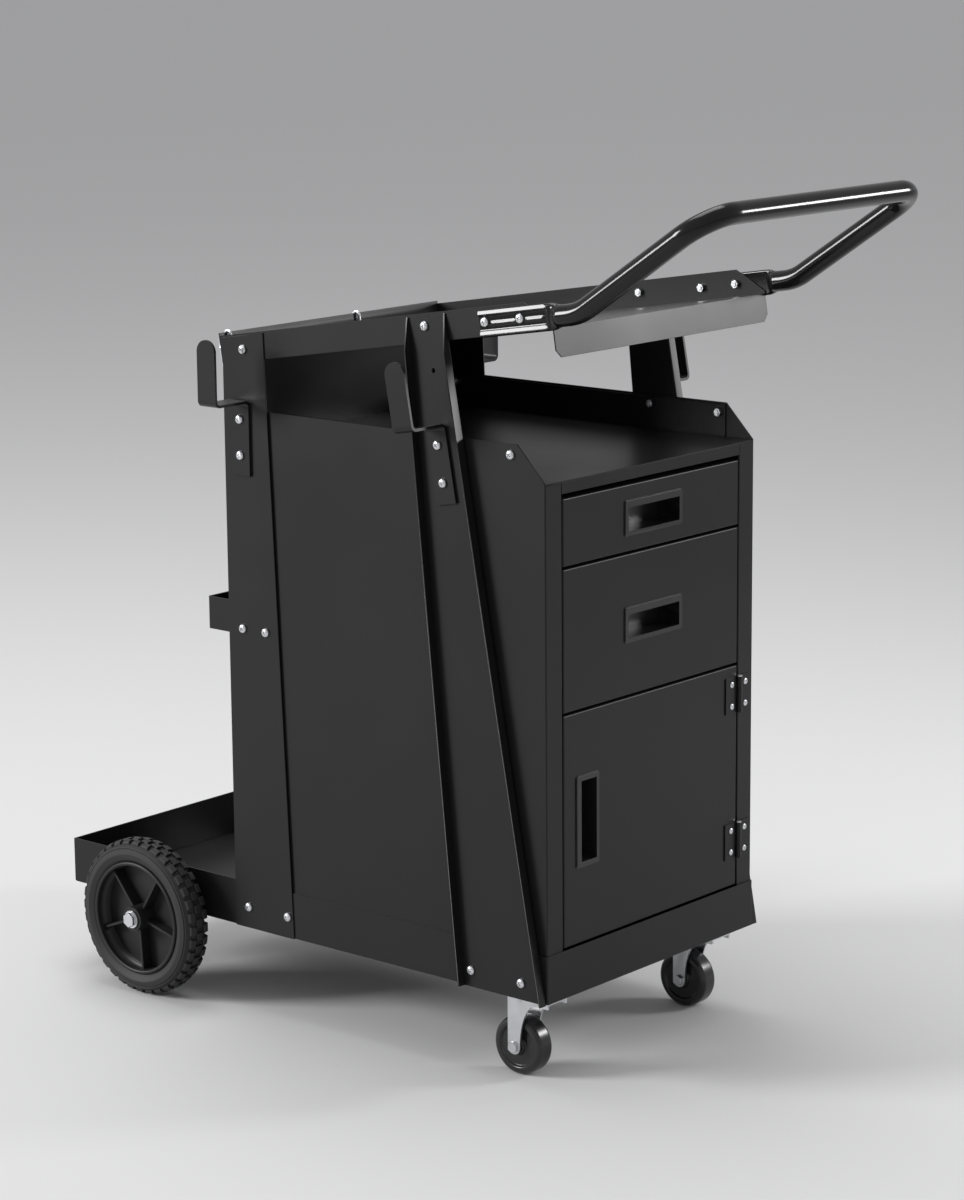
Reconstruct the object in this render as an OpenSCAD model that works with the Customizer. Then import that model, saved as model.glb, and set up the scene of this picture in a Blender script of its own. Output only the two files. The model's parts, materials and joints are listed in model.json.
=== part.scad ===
// Welding cart: a drawer cabinet on a base pan, with a sloping top tray, a push handle,
// cable hooks, two rear wheels on an axle, two front casters and a bay for a gas tank.
// Millimetres. X runs across the cart, -Y is the front with the drawers, +Z is up.
// The origin is on the floor, in the middle of the whole cart.

/* [Overall] */
// Height of the top of the handle above the floor
overall_h = 925; // [910:1:945]
// Width over the ends of the rear axle
overall_w = 465; // [455:1:490]
// How far the handle reaches in front of the base pan
handle_reach = 213; // [200:1:230]

/* [Sheet and plate] */
// Thickness of the folded steel sheet
sheet = 1.5; // [1.2:0.1:1.8]

/* [Base pan] */
// Width that a rear wheel with its spacer and nut takes beside the pan
wheel_room = 55.5; // [54:0.5:60]
// Length of the base pan
pan_l = 707; // [700:1:730]
// Height of the pan's skirt
pan_h = 52; // [48:1:54]
// Height of the pan's underside above the floor
pan_z = 94.5; // [94.3:0.1:97]

/* [Cabinet] */
// Depth of the cabinet behind the pan's front wall
cabinet_d = 442; // [436:1:450]
// Height of the shelf on top of the cabinet
shelf_z = 636; // [633:1:640]
// How far the side panels stand above that shelf
panel_rise = 37; // [34:1:40]
// Length of the sloping corner at the front of each side panel
nose_run = 36; // [30:1:42]
// Width of the posts beside the drawers
post_w = 26; // [24:1:28]
// Depth of the return behind each post
post_return = 16; // [12:1:18]
// Height of the lip at the shelf's front edge
shelf_lip_h = 13; // [10:1:15]

/* [Drawers and door] */
// Height of the upper drawer's front
drawer_1_h = 70; // [68:1:72]
// Height of the lower drawer's front
drawer_2_h = 149; // [145:1:152]
// Gap between the shelf's lip and the upper drawer
lip_gap = 5; // [4:0.5:6]
// Gap between one front and the next
front_gap = 2.5; // [2:0.5:3]
// Gap between a front and the post beside it
side_gap = 1.5; // [1:0.5:2]
// Depth of the folded edges of the drawer fronts and the door
front_d = 15; // [13:0.5:15]
// Space beside a drawer's bin for its slide and the slide's bracket
slide_room = 48; // [47:0.5:52]
// Inside length of the drawers
bin_l = 395; // [380:1:400]
// Thickness of the drawer sheet
bin_sheet = 1; // [0.8:0.1:1.2]
// Height of the bins above the lower edge of their fronts
bin_lift = 5; // [4:1:6]
// Drop of the bins' rim below the upper edge of their fronts
bin_drop = 8; // [6:1:10]

/* [Drawer slides] */
// Height of the fixed rails
rail_h = 36; // [32:1:38]
// Length of the rails
rail_l = 400; // [390:1:405]
// Depth of a pair of rails across the cart
rail_t = 13; // [12:0.5:14]
// Running gap between the rails
rail_gap = 0.3; // [0.2:0.1:0.4]

/* [Pulls] */
// Length of a pull over its rim
pull_l = 98; // [92:1:104]
// Height of a pull over its rim
pull_h = 38; // [36:1:40]
// Depth of the finger cup behind the front
pull_d = 28; // [24:1:30]
// Height of the pull's rim in front of the sheet
pull_rim = 1.5; // [1:0.1:2]
// Wall of the pull
pull_wall = 1.5; // [1.2:0.1:1.8]
// Height of the door pull's middle above the floor
door_pull_z = 278; // [260:1:290]
// Distance of the door pull's middle from the door's edge
door_pull_inset = 38; // [34:1:46]

/* [Hinges] */
// Height of a hinge
hinge_h = 40; // [36:1:44]
// Width of one hinge leaf from the pin's middle
leaf_w = 22; // [21:1:23]
// Diameter of the hinge barrel
barrel_d = 6; // [5.5:0.5:6]
// Diameter of the hinge pin
hinge_pin_d = 3; // [2.6:0.1:3.2]
// Height of the upper hinge's middle above the floor
hinge_top_z = 362; // [350:1:368]
// Height of the lower hinge's middle above the floor
hinge_low_z = 199; // [190:1:215]

/* [Top tray] */
// Length of the tray along its slope
tray_l = 464; // [455:1:470]
// Slope of the tray, rising to the front
tray_slope = 9; // [8:0.5:10]
// Height of the underside of the tray's rear edge
tray_rear_z = 719.5; // [712:0.5:724]
// Height of the tray's side walls
tray_wall_h = 30; // [28:1:32]
// Height of the tray's rear wall
tray_rear_h = 33; // [30:1:38]
// Drop of the lip at the tray's front
tray_lip_h = 28; // [24:1:32]

/* [Handle] */
// Diameter of the handle tube
tube_d = 22; // [20:0.5:24]
// Straight run of the tube between a flattened end and the bend above the tray
knee_run = 21.5; // [18:0.5:30]
// Length over which the tube turns flat
flat_taper = 13; // [10:1:16]
// Radius of the bends into the crossbar
handle_bend_r = 40; // [35:1:45]
// Radius of the bends above the tray's walls
handle_knee_r = 60; // [50:1:70]
// Length of the flattened tube ends
flat_l = 92; // [88:1:96]
// Height of the flattened tube ends
flat_h = 27; // [26:0.5:28]
// Thickness of the flattened tube ends
flat_t = 6; // [5:0.5:7]
// Height of the pressed rims along the flattened ends
flat_rim = 2; // [1.5:0.1:2.2]

/* [Uprights] */
// Width of the front legs at the top
leg_top_w = 50; // [46:1:54]
// Width of the front legs at the bottom
leg_foot_w = 111; // [104:1:116]
// Lean of the front legs' front edge
leg_lean = 10.3; // [9.5:0.1:11]
// Width of the front legs' flanges
leg_flange = 11; // [9:0.5:12]
// Length of the points at the tops of those flanges
leg_point_h = 45; // [40:1:50]
// Distance of the front legs' peaks behind the pan's front
leg_peak_y = 131; // [125:1:137]
// Width of the rear uprights at the top
upright_top_w = 60; // [56:1:64]
// Width of the rear uprights at the bottom
upright_foot_w = 88; // [84:1:92]
// Width of the rear uprights' turned edge behind the cabinet
upright_wrap = 28; // [24:1:32]

/* [Cable hooks] */
// Width of the hook strip
hook_w = 26; // [22:1:28]
// Thickness of the hook strip
hook_t = 3; // [2.5:0.5:3.5]
// Reach of a hook from the cart's side
hook_reach = 52; // [48:1:53]
// Height of a hook's tongue above its arm
hook_rise = 72; // [66:1:76]
// Length of a hook's foot below its arm
hook_foot = 79; // [74:1:82]
// Height of the hooks' arms above the floor
hook_z = 681; // [676:1:684]
// Distance of the front hooks behind their legs' front edges
hook_inset = 33; // [28:1:36]
// Distance of the rear hooks in front of the cabinet's back
hook_rear_inset = 25; // [22:1:28]

/* [Tank bay] */
// Height of the tank rest's strap
strap_h = 36; // [32:1:40]
// Height of the strap's middle above the floor
strap_z = 444; // [430:1:460]
// How far the strap stands behind the cabinet
strap_reach = 34; // [30:1:38]
// Diameter of the tank that the strap holds
tank_d = 230; // [200:5:250]
// Depth of the strap's hollow for the tank
strap_dip = 22; // [18:1:24]
// Length of the strap's ends along the cabinet's sides
strap_tab = 64; // [60:1:68]

/* [Chain] */
// Wire of the chain links
wire_d = 3; // [2.5:0.1:3.2]
// Pitch of the chain
link_pitch = 16; // [15:0.5:18]
// Outer width of a link
link_w = 11.5; // [11:0.5:13]
// Number of links
link_count = 29; // [25:2:33]
// How steeply the chain hangs at its ends
chain_steepness = 5; // [4:0.5:6]
// Distance of the chain's middle from the tray's side
chain_inset = 115; // [110:1:130]

/* [Rear wheels] */
// Diameter of the rear wheels
wheel_d = 178; // [174:1:182]
// Width of the rear tyres
tyre_w = 34; // [30:1:36]
// Diameter at which the tyre sits on the wheel
bead_d = 130; // [124:1:134]
// Distance of the rear axle from the front of the pan
axle_y = 562; // [550:1:580]
// Diameter of the axle
axle_d = 10; // [9:0.5:10]
// Number of tread blocks around each shoulder of a tyre
tread_count = 36; // [30:2:40]
// Number of ribs on the outside of a rear wheel
rib_count = 5; // [4:1:7]
// Running gap between a shaft and its bush
shaft_gap = 0.05; // [0.03:0.01:0.08]

/* [Casters] */
// Diameter of the caster wheels
caster_d = 63; // [60:1:66]
// Width of the caster wheels
caster_w = 24; // [20:1:26]
// Distance of a caster's swivel behind the front of the pan
caster_y = 40; // [38:1:50]
// Distance of a caster's swivel from the pan's side
caster_inset = 35; // [33:1:42]
// Trail of the caster wheels
caster_trail = 22; // [18:1:26]
// Diameter of the casters' wheel bolts
caster_bolt_d = 8; // [6:0.5:8]
// Reach of a caster fork's horn in front of its swivel
fork_horn = 24; // [23:1:28]

/* [Places of the screws] */
// Height of the side panels' upper screws above the shelf
panel_screw_rise = 26; // [22:1:30]
// Distance of the front one behind the pan's front
panel_screw_front = 46; // [42:1:50]
// Distance of the handle's front screws behind the flattened ends' fronts
handle_screw_1 = 38.5; // [34:0.5:44]
// Distance of the handle's rear screws behind the flattened ends' fronts
handle_screw_2 = 84; // [80:0.5:85]
// Height of the handle's screws above the tray's underside
handle_screw_h = 15; // [13:0.5:17]
// Height of the lowest screws above the pan's underside
foot_screw_h = 18; // [15:1:22]

/* [Fasteners] */
// Diameter of the screws
screw_d = 5; // [4:0.5:5]
// Diameter of the screw heads
head_d = 10; // [9:0.5:11]
// Height of the screw heads
head_h = 3.5; // [3:0.5:4]

/* [Hidden] */
$fn = 48;

// Finishes
BLACK = [0.11, 0.11, 0.12];
SATIN = [0.15, 0.15, 0.16];
ZINC = [0.78, 0.79, 0.80];
RUBBER = [0.06, 0.06, 0.06];
PLASTIC = [0.16, 0.16, 0.17];

// Places that several pieces share
front_y = (handle_reach - pan_l) / 2;
skirt_x = overall_w / 2 - wheel_room;
panel_x = skirt_x - sheet;
inside_x = panel_x - sheet;
floor_z = pan_z + sheet;
face_y = sheet;
caster_x = skirt_x - caster_inset;
bin_x = inside_x - slide_room;
bin_half = bin_x - bin_sheet;
back_y = face_y + cabinet_d;
panel_top_z = shelf_z + panel_rise;
post_x = panel_x - post_w;
front_x = post_x - side_gap;
door_pull_x = front_x - door_pull_inset;
fold_r = 4;

// Heights of the drawer fronts and the door, from the top down
drawer_1_z = shelf_z - shelf_lip_h - lip_gap - drawer_1_h;
drawer_2_z = drawer_1_z - front_gap - drawer_2_h;
door_top_z = drawer_2_z - front_gap;
door_z = pan_z + pan_h + side_gap;
divider_z = drawer_2_z - sheet;
bins_y = face_y + front_d;

// The tray's own frame: its rear lower edge, leaning up to the front
tray_rear_y = back_y + sheet + 2;
function tray_under(y) = tray_rear_z + (tray_rear_y - y) * tan(tray_slope);
function tray_brim(y) = tray_under(y) + tray_wall_h / cos(tray_slope);
tray_front_y = tray_rear_y - tray_l * cos(tray_slope);

// The handle's centre line, seen from the side: a straight run from the flattened end,
// a knee of its own radius, and a straight leg to the bar, which the knee's circle touches
tube_r = tube_d / 2;
tube_x = skirt_x + flat_t / 2;
bar_y = tube_r - handle_reach;
bar_z = overall_h - tube_r;
flat_front_y = tray_front_y - 1;
flat_z = tray_under(flat_front_y) + tray_wall_h / 2 - 2;
run_end_y = flat_front_y - knee_run * cos(tray_slope);
run_end_z = flat_z + knee_run * sin(tray_slope);
knee_side = bar_z > run_end_z + (run_end_y - bar_y) * tan(tray_slope) ? 1 : -1;
to_bar_y = run_end_y + knee_side * handle_knee_r * sin(tray_slope) - bar_y;
to_bar_z = bar_z - run_end_z - knee_side * handle_knee_r * cos(tray_slope);
handle_slope = atan2(to_bar_z, to_bar_y)
    + knee_side * asin(handle_knee_r / norm([to_bar_y, to_bar_z]));
handle_turn = abs(handle_slope - tray_slope);
knee_cut = handle_knee_r * tan(handle_turn / 2);
knee_y = run_end_y - knee_cut * cos(tray_slope);
knee_z = run_end_z + knee_cut * sin(tray_slope);

// The uprights' edges
leg_foot_y = face_y;
leg_z0 = pan_z;
leg_top_drop = 2;
brim_drop = 2;
under_tray_gap = 0.4;
function leg_front(z) = leg_foot_y + (z - leg_z0) * tan(leg_lean);
leg_peak_z = tray_brim(leg_peak_y) - leg_top_drop;
leg_rear_top_y = leg_front(leg_peak_z) + leg_top_w;
upright_rear_y = back_y + sheet;
strap_y = back_y + strap_reach;

// Places of the screws through the sides, as distance behind the front and height
hook_leg_y = leg_front(hook_z) + hook_inset;
hook_rear_y = back_y - hook_rear_inset;
hook_screws = [-18, -57];
function along_leg(z) = [hook_leg_y + (z - hook_z) * tan(leg_lean), z];
foot_screw_z = pan_z + foot_screw_h;
strap_screw_z = strap_z - 11;
leg_screws = [[leg_peak_y + 25, tray_brim(leg_peak_y + 25) - 13],
    [leg_foot_y + leg_foot_w - 10.5, foot_screw_z], [leg_foot_y + 32.5, foot_screw_z]];
upright_screws = [[back_y - 29, tray_brim(back_y - 29) - 17],
    [back_y - strap_tab + 44, strap_screw_z], [back_y - strap_tab + 10, strap_screw_z],
    [upright_rear_y - 20.5, foot_screw_z + 6], [upright_rear_y - upright_foot_w + 8.5, foot_screw_z + 6]];
panel_screws = [[panel_screw_front, shelf_z + panel_screw_rise]];
handle_screws = [for (d = [handle_screw_1, handle_screw_2]) flat_front_y + d];
spare_hole = [leg_peak_y + 14, tray_under(leg_peak_y) - 31];
hole_r = screw_d / 2 + 0.1;

module in_frame() translate([0, front_y, 0]) children();
module both_sides() {
    children();
    mirror([1, 0, 0]) children();
}
module on_right() mirror([1, 0, 0]) children();
module box(low, high) translate(low) cube(high - low);

// A plate in the side plane, from an outline in Y and Z
module side_plate(x0, x1, outline) {
    translate([x0, 0, 0]) rotate([90, 0, 90]) linear_extrude(x1 - x0) polygon(outline);
}
// A bar along X
module cross_bar(x0, x1, y, z, r) {
    translate([x0, y, z]) rotate([0, 90, 0]) cylinder(h = x1 - x0, r = r);
}
module in_tray_frame() {
    translate([0, tray_rear_y, tray_rear_z]) rotate([-tray_slope, 0, 0]) children();
}

// Holes through the left side, from inside the cabinet out to the hooks
holes_out_x = -skirt_x - flat_t - hook_t - 3;
holes_in_x = -inside_x + 3 * sheet;
module side_hole(place) cross_bar(holes_out_x, holes_in_x, place[0], place[1], hole_r);
module left_holes() {
    for (p = concat(leg_screws, upright_screws, panel_screws)) side_hole(p);
    for (s = hook_screws) {
        side_hole([hook_rear_y, hook_z + s]);
        side_hole(along_leg(hook_z + s * cos(leg_lean)));
    }
    in_handle_holes() cross_bar(holes_out_x, holes_in_x, 0, 0, hole_r);
}
module in_handle_holes() {
    for (y = handle_screws) translate([0, y, tray_under(y) + handle_screw_h]) children();
}
module side_holes() both_sides() left_holes();

// Base pan and cabinet
module floor_hole(x, y) translate([x, y, pan_z - 1]) cylinder(h = sheet + 2, r = hole_r);
module base_pan() color(BLACK) difference() {
    box([-skirt_x, 0, pan_z], [skirt_x, pan_l, pan_z + pan_h]);
    box([-panel_x, sheet, floor_z], [panel_x, pan_l + 1, pan_z + pan_h + 1]);
    side_holes();
    for (x = [-caster_x, caster_x], dx = [-1, 1], dy = [-1, 1])
        floor_hole(x + dx * plate_hole, caster_y + dy * plate_hole);
    for (x = [-saddle_x, saddle_x], dy = [-1, 1]) floor_hole(x, axle_y + dy * saddle_hole);
}
// Strip welded in between the pan's side walls, on its floor
module pan_rear_wall() color(BLACK)
    box([-panel_x, pan_l - sheet, floor_z], [panel_x, pan_l, pan_z + pan_h]);

module side_panel() color(SATIN) difference() {
    union() {
        side_plate(-panel_x, -inside_x, [[face_y, floor_z], [back_y, floor_z], [back_y, panel_top_z],
            [face_y + nose_run, panel_top_z], [face_y, shelf_z]]);
        box([-panel_x, face_y, floor_z], [-post_x, face_y + sheet, shelf_z - sheet]);
        box([-post_x - sheet, face_y, floor_z], [-post_x, face_y + post_return, shelf_z - sheet]);
    }
    left_holes();
    children();
}

// The back panel closes the rear between the uprights, up to the tray
module back_panel() color(BLACK)
    box([-inside_x, back_y - sheet, floor_z], [inside_x, back_y, tray_rear_z - under_tray_gap]);

module cabinet_top_shelf() color(SATIN) difference() {
    union() {
        box([-inside_x, face_y, shelf_z - sheet], [inside_x, back_y - sheet, shelf_z]);
        box([-post_x, face_y, shelf_z - shelf_lip_h], [post_x, face_y + sheet, shelf_z]);
        both_sides() box([-inside_x, face_y + nose_run, shelf_z - sheet],
            [-inside_x + sheet, back_y - sheet, panel_top_z - brim_drop]);
    }
    side_holes();
}

divider_y = face_y + post_return + brim_drop;
divider_flange = 13;
module cabinet_divider() color(BLACK) {
    box([-inside_x, divider_y, divider_z - sheet], [inside_x, back_y - sheet, divider_z]);
    box([-inside_x, divider_y, divider_z - divider_flange], [inside_x, divider_y + sheet, divider_z]);
    both_sides() box([-inside_x, divider_y, divider_z - divider_flange],
        [-inside_x + sheet, back_y - sheet, divider_z]);
}

// Uprights that carry the top tray
module left_front_leg_shape() color(SATIN) {
    foot_rear = leg_foot_y + leg_foot_w;
    rear_top_z = tray_brim(leg_rear_top_y) - leg_top_drop;
    out = -skirt_x - sheet;
    front_top_y = leg_front(leg_peak_z);
    difference() {
        union() {
            side_plate(out, -skirt_x, [[leg_foot_y, leg_z0], [foot_rear, leg_z0],
                [leg_rear_top_y, rear_top_z], [front_top_y, leg_peak_z]]);
            side_plate(-skirt_x - leg_flange, out, [[leg_foot_y, leg_z0],
                [leg_foot_y + sheet, leg_z0], [front_top_y + sheet, leg_peak_z],
                [front_top_y, leg_peak_z]]);
            side_plate(-skirt_x - leg_flange, out, [[foot_rear - sheet, leg_z0], [foot_rear, leg_z0],
                [leg_rear_top_y, rear_top_z], [leg_rear_top_y - sheet, rear_top_z]]);
        }
        left_holes();
        side_hole(spare_hole);
        flange_points();
    }
}
// Wedge that brings the tops of a leg's flanges to points
module flange_points() {
    spare = 10;
    length = leg_top_w + leg_point_h * tan(leg_lean) + 2 * spare;
    translate([0, leg_rear_top_y + spare, 0]) rotate([90, 0, 0]) linear_extrude(length)
        polygon([[-skirt_x - sheet, leg_peak_z], [-skirt_x - leg_flange - 1, leg_peak_z - leg_point_h],
            [-skirt_x - leg_flange - 1, leg_peak_z + spare], [-skirt_x - sheet, leg_peak_z + spare]]);
}

// Gap round the strap's ends where they pass the uprights' turned edges
slot_gap = 0.3;
module left_rear_upright_shape() color(SATIN) {
    top_y = upright_rear_y - upright_top_w;
    wrap_z0 = pan_z + pan_h + 1;
    wrap_z1 = tray_rear_z - 8;
    slot_h = strap_h / 2 + slot_gap;
    difference() {
        union() {
            side_plate(-skirt_x - sheet, -skirt_x, [[upright_rear_y - upright_foot_w, leg_z0],
                [upright_rear_y, leg_z0], [upright_rear_y, tray_brim(upright_rear_y) - leg_top_drop],
                [top_y, tray_brim(top_y) - leg_top_drop]]);
            box([-skirt_x - sheet, back_y, wrap_z0],
                [-skirt_x + upright_wrap, upright_rear_y, wrap_z1]);
        }
        left_holes();
        box([-skirt_x, back_y - 1, strap_z - slot_h],
            [-panel_x + slot_gap, upright_rear_y + 1, strap_z + slot_h]);
    }
}

// Cable hooks: a foot on the upright, an arm and a tongue with a round end
module bend(r, t) intersection() {
    difference() {
        circle(r + t);
        circle(r);
    }
    square(r + t);
}
module hook_profile() {
    r = fold_r;
    translate([-hook_t, -hook_foot]) square([hook_t, hook_foot - r]);
    translate([-hook_t - r, -r]) bend(r, hook_t);
    translate([-hook_reach + hook_t + r, 0]) square([hook_reach - 2 * (hook_t + r), hook_t]);
    translate([-hook_reach + hook_t + r, hook_t + r]) rotate(180) bend(r, hook_t);
    translate([-hook_reach, hook_t + r]) square([hook_t, hook_rise - hook_t - r]);
}
module hook_shape() color(SATIN) {
    round_z = hook_rise - hook_w / 2;
    difference() {
        intersection() {
            translate([0, hook_w / 2, 0]) rotate([90, 0, 0]) linear_extrude(hook_w) hook_profile();
            union() {
                box([-hook_reach - 1, -hook_w / 2, -hook_foot - 1], [1, hook_w / 2, round_z]);
                cross_bar(-hook_reach - 1, 1, 0, round_z, hook_w / 2);
            }
        }
        for (s = hook_screws) cross_bar(-hook_t - 1, 1, 0, s, hole_r);
    }
}
module at_front_hook() {
    translate([-skirt_x - sheet, hook_leg_y, hook_z]) rotate([-leg_lean, 0, 0]) children();
}
module at_rear_hook() translate([-skirt_x - sheet, hook_rear_y, hook_z]) children();

// Top tray
module top_tray() color(SATIN) difference() {
    in_tray_frame() {
        corner = 34;
        lip_corner = 8;
        box([-skirt_x, -tray_l, 0], [skirt_x, 0, sheet]);
        both_sides() side_plate(-skirt_x, -panel_x, [[-tray_l, 0], [0, 0], [0, tray_wall_h],
            [corner - tray_l, tray_wall_h], [-tray_l, sheet + 3]]);
        box([-skirt_x, -sheet, 0], [skirt_x, 0, tray_rear_h]);
        translate([0, sheet - tray_l, 0]) rotate([90, 0, 0]) linear_extrude(sheet)
            polygon([[-skirt_x, sheet], [-skirt_x, lip_corner - tray_lip_h],
                [lip_corner - skirt_x, -tray_lip_h], [skirt_x - lip_corner, -tray_lip_h],
                [skirt_x, lip_corner - tray_lip_h], [skirt_x, sheet]]);
    }
    side_holes();
}

// Handle: a bent tube with flattened ends, bolted outside the tray's walls.
// The knees bulge a little over the straight runs, which reach into them.
knee_bulge = 0.05;
knee_overlap = 1;
module handle_half() {
    leg = norm([bar_y - knee_y, bar_z - knee_z]) - handle_bend_r;
    translate([-tube_x, knee_y, knee_z]) {
        rotate([-tray_slope, 0, 0]) {
            translate([0, knee_cut - knee_overlap, 0]) rotate([-90, 0, 0])
                cylinder(h = knee_run + knee_overlap - flat_taper, r = tube_r);
            rotate([0, knee_side > 0 ? 0 : 180, 0]) translate([0, knee_cut, handle_knee_r])
                rotate([90, 0, 90]) rotate(-90 - handle_turn) rotate_extrude(angle = handle_turn)
                    translate([handle_knee_r, 0]) circle(tube_r + knee_bulge);
        }
        rotate([-handle_slope, 0, 0]) {
            translate([0, -leg, 0]) rotate([-90, 0, 0])
                cylinder(h = leg - knee_cut + knee_overlap, r = tube_r);
            translate([handle_bend_r, -leg, 0]) rotate(180)
                rotate_extrude(angle = 90) translate([handle_bend_r, 0]) circle(tube_r);
            translate([handle_bend_r, -leg - handle_bend_r, 0]) rotate([0, 90, 0])
                cylinder(h = tube_x - handle_bend_r, r = tube_r);
        }
    }
}
module flat_end() {
    embed = 0.2;
    translate([-skirt_x, flat_front_y, flat_z]) rotate([-tray_slope, 0, 0]) {
        box([-flat_t, 0, -flat_h / 2], [0, flat_l, flat_h / 2]);
        for (s = [-1, 1]) translate([0, 0, s * (flat_h / 2 - flat_rim / 2)])
            box([-flat_t - flat_rim, 0, -flat_rim / 2], [-flat_t, flat_l, flat_rim / 2]);
        hull() {
            box([-flat_t, 0, -flat_h / 2], [0, embed, flat_h / 2]);
            translate([-flat_t / 2, -flat_taper - embed, 0]) rotate([-90, 0, 0])
                cylinder(h = embed, r = tube_r - embed, $fn = 32);
        }
    }
}
module handle_tube() color(BLACK) difference() {
    both_sides() {
        handle_half();
        flat_end();
    }
    side_holes();
}

// Tank rest behind the cabinet: a strap with a hollow for the tank
module tank_strap() color(BLACK) {
    tab_y = back_y - strap_tab;
    dip_r = tank_d / 2;
    half_angle = acos(1 - strap_dip / dip_r);
    steps = 12;
    centre_y = strap_y + dip_r - strap_dip;
    outer = [for (i = [0:steps]) let (a = half_angle * (2 * i / steps - 1))
        [dip_r * sin(a), centre_y - dip_r * cos(a)]];
    inner = [for (i = [steps:-1:0]) let (a = half_angle * (2 * i / steps - 1))
        [(dip_r + sheet) * sin(a), centre_y - (dip_r + sheet) * cos(a)]];
    difference() {
        translate([0, 0, strap_z - strap_h / 2]) linear_extrude(strap_h)
            polygon(concat([[-skirt_x, tab_y], [-skirt_x, strap_y]], outer,
                [[skirt_x, strap_y], [skirt_x, tab_y], [panel_x, tab_y], [panel_x, strap_y - sheet]],
                inner, [[-panel_x, strap_y - sheet], [-panel_x, tab_y]]));
        side_holes();
    }
}

// Wire hooks over the tray's rear wall, in the tray's frame
hook_wire_r = wire_d / 2;
hook_bow_inner = wire_d;
hook_bow_r = hook_bow_inner + hook_wire_r;
hook_bow_y = -sheet / 2;
hook_bow_z = tray_rear_h - sqrt(pow(hook_bow_inner, 2) - pow(sheet / 2, 2));
hook_drop = 8;
hook_prong = 14;
hook_tip = 4;
module half_ring(ring_r) rotate([90, 0, 90]) rotate_extrude(angle = 180) translate([ring_r, 0])
    circle(hook_wire_r, $fn = 24);
module chain_hook() in_tray_frame() translate([0, hook_bow_y, hook_bow_z]) {
    half_ring(hook_bow_r);
    translate([0, -hook_bow_r, -hook_prong]) cylinder(h = hook_prong, r = hook_wire_r, $fn = 24);
    translate([0, hook_bow_r, -hook_drop]) cylinder(h = hook_drop, r = hook_wire_r, $fn = 24);
    translate([0, 2 * hook_bow_r, -hook_drop]) rotate([180, 0, 0]) half_ring(hook_bow_r);
    translate([0, 3 * hook_bow_r, -hook_drop]) cylinder(h = hook_tip, r = hook_wire_r, $fn = 24);
}

// Chain between the hooks. Its end links go round the bottoms of the hooks.
hook_low_y = hook_bow_y + 2 * hook_bow_r;
hook_low_z = hook_bow_z - hook_drop - hook_bow_r;
chain_y = tray_rear_y + hook_low_y * cos(tray_slope) + hook_low_z * sin(tray_slope);
chain_hang_z = tray_rear_z - hook_low_y * sin(tray_slope) + hook_low_z * cos(tray_slope);
chain_x = chain_inset - skirt_x;
chain_slack = 0.97;
end_inset = 1.2;
function chain_angle(i) = atan(chain_steepness * (2 * i / (link_count - 1) - 1));
function chain_point(i) = i < 0 ? [0, 0] :
    chain_point(i - 1) + link_pitch * chain_slack * [cos(chain_angle(i)), sin(chain_angle(i))];
chain_span = chain_point(link_count - 1)[0];
chain_hook_x = chain_span / 2 - end_inset * cos(chain_angle(0));
chain_top_z = chain_hang_z - end_inset * sin(chain_angle(0));
module link() {
    mid = (link_w - wire_d) / 2;
    half = link_pitch / 2 - mid + hook_wire_r;
    for (turn = [0, 180]) rotate([turn, 0, 0]) {
        translate([0, mid, -half]) cylinder(h = 2 * half, r = hook_wire_r, $fn = 16);
        translate([0, 0, half]) rotate([90, 0, 90]) rotate_extrude(angle = 180, $fn = 24)
            translate([mid, 0]) circle(hook_wire_r, $fn = 16);
    }
}
module tank_chain() color(ZINC)
    for (i = [0:link_count - 1]) {
        middle = (chain_point(i - 1) + chain_point(i)) / 2;
        translate([chain_x - chain_span / 2 + middle[0], chain_y, chain_top_z + middle[1]])
            rotate([0, 90 - chain_angle(i), 0]) rotate([0, 0, (i + 1) % 2 * 90]) link();
    }
module chain_hooks() color(ZINC)
    for (s = [-1, 1]) translate([chain_x + s * chain_hook_x, 0, 0]) chain_hook();

// Fasteners
module head(r, h) rotate_extrude() polygon(concat([[0, 0], [r, 0], [r, h * 0.35]],
    [for (a = [30:30:90]) [r * cos(a), h * 0.35 + h * 0.65 * sin(a)]]));
module nut(r, h) cylinder(h = h, r = r, $fn = 6);
nut_h = 4;
// A screw along +Z: its head stands on the outside at z = 0, its nut behind the grip
module screw(grip) {
    head(head_d / 2, head_h);
    translate([0, 0, -grip - nut_h - 1]) cylinder(h = grip + nut_h + 1, r = screw_d / 2);
    translate([0, 0, -grip - nut_h]) nut(screw_d * 0.9, nut_h);
}
module left_screw(place, x, grip) translate([-x, place[0], place[1]]) rotate([0, -90, 0]) screw(grip);
module left_screws() {
    web_x = skirt_x + sheet;
    left_screw(leg_screws[0], web_x, 2 * sheet);
    left_screw(upright_screws[0], web_x, 2 * sheet);
    for (i = [1, 2]) left_screw(leg_screws[i], web_x, 3 * sheet);
    for (i = [1, 2]) left_screw(upright_screws[i], web_x, 3 * sheet);
    for (i = [3, 4]) left_screw(upright_screws[i], web_x, 3 * sheet);
    for (p = panel_screws) left_screw(p, panel_x, 2 * sheet);
    for (s = hook_screws) {
        depth = hook_t + (s == hook_screws[0] ? 4 : 3) * sheet;
        left_screw([hook_rear_y, hook_z + s], web_x + hook_t, depth);
        left_screw(along_leg(hook_z + s * cos(leg_lean)), web_x + hook_t, depth);
    }
    in_handle_holes() translate([-skirt_x - flat_t, 0, 0]) rotate([0, -90, 0]) screw(flat_t + sheet);
}
module hinge_screw_places() {
    for (z = [hinge_top_z, hinge_low_z], dz = [-1, 1])
        translate([hinge_x + hinge_screw_x, face_y, z + dz * hinge_screw_z]) children();
}
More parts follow.
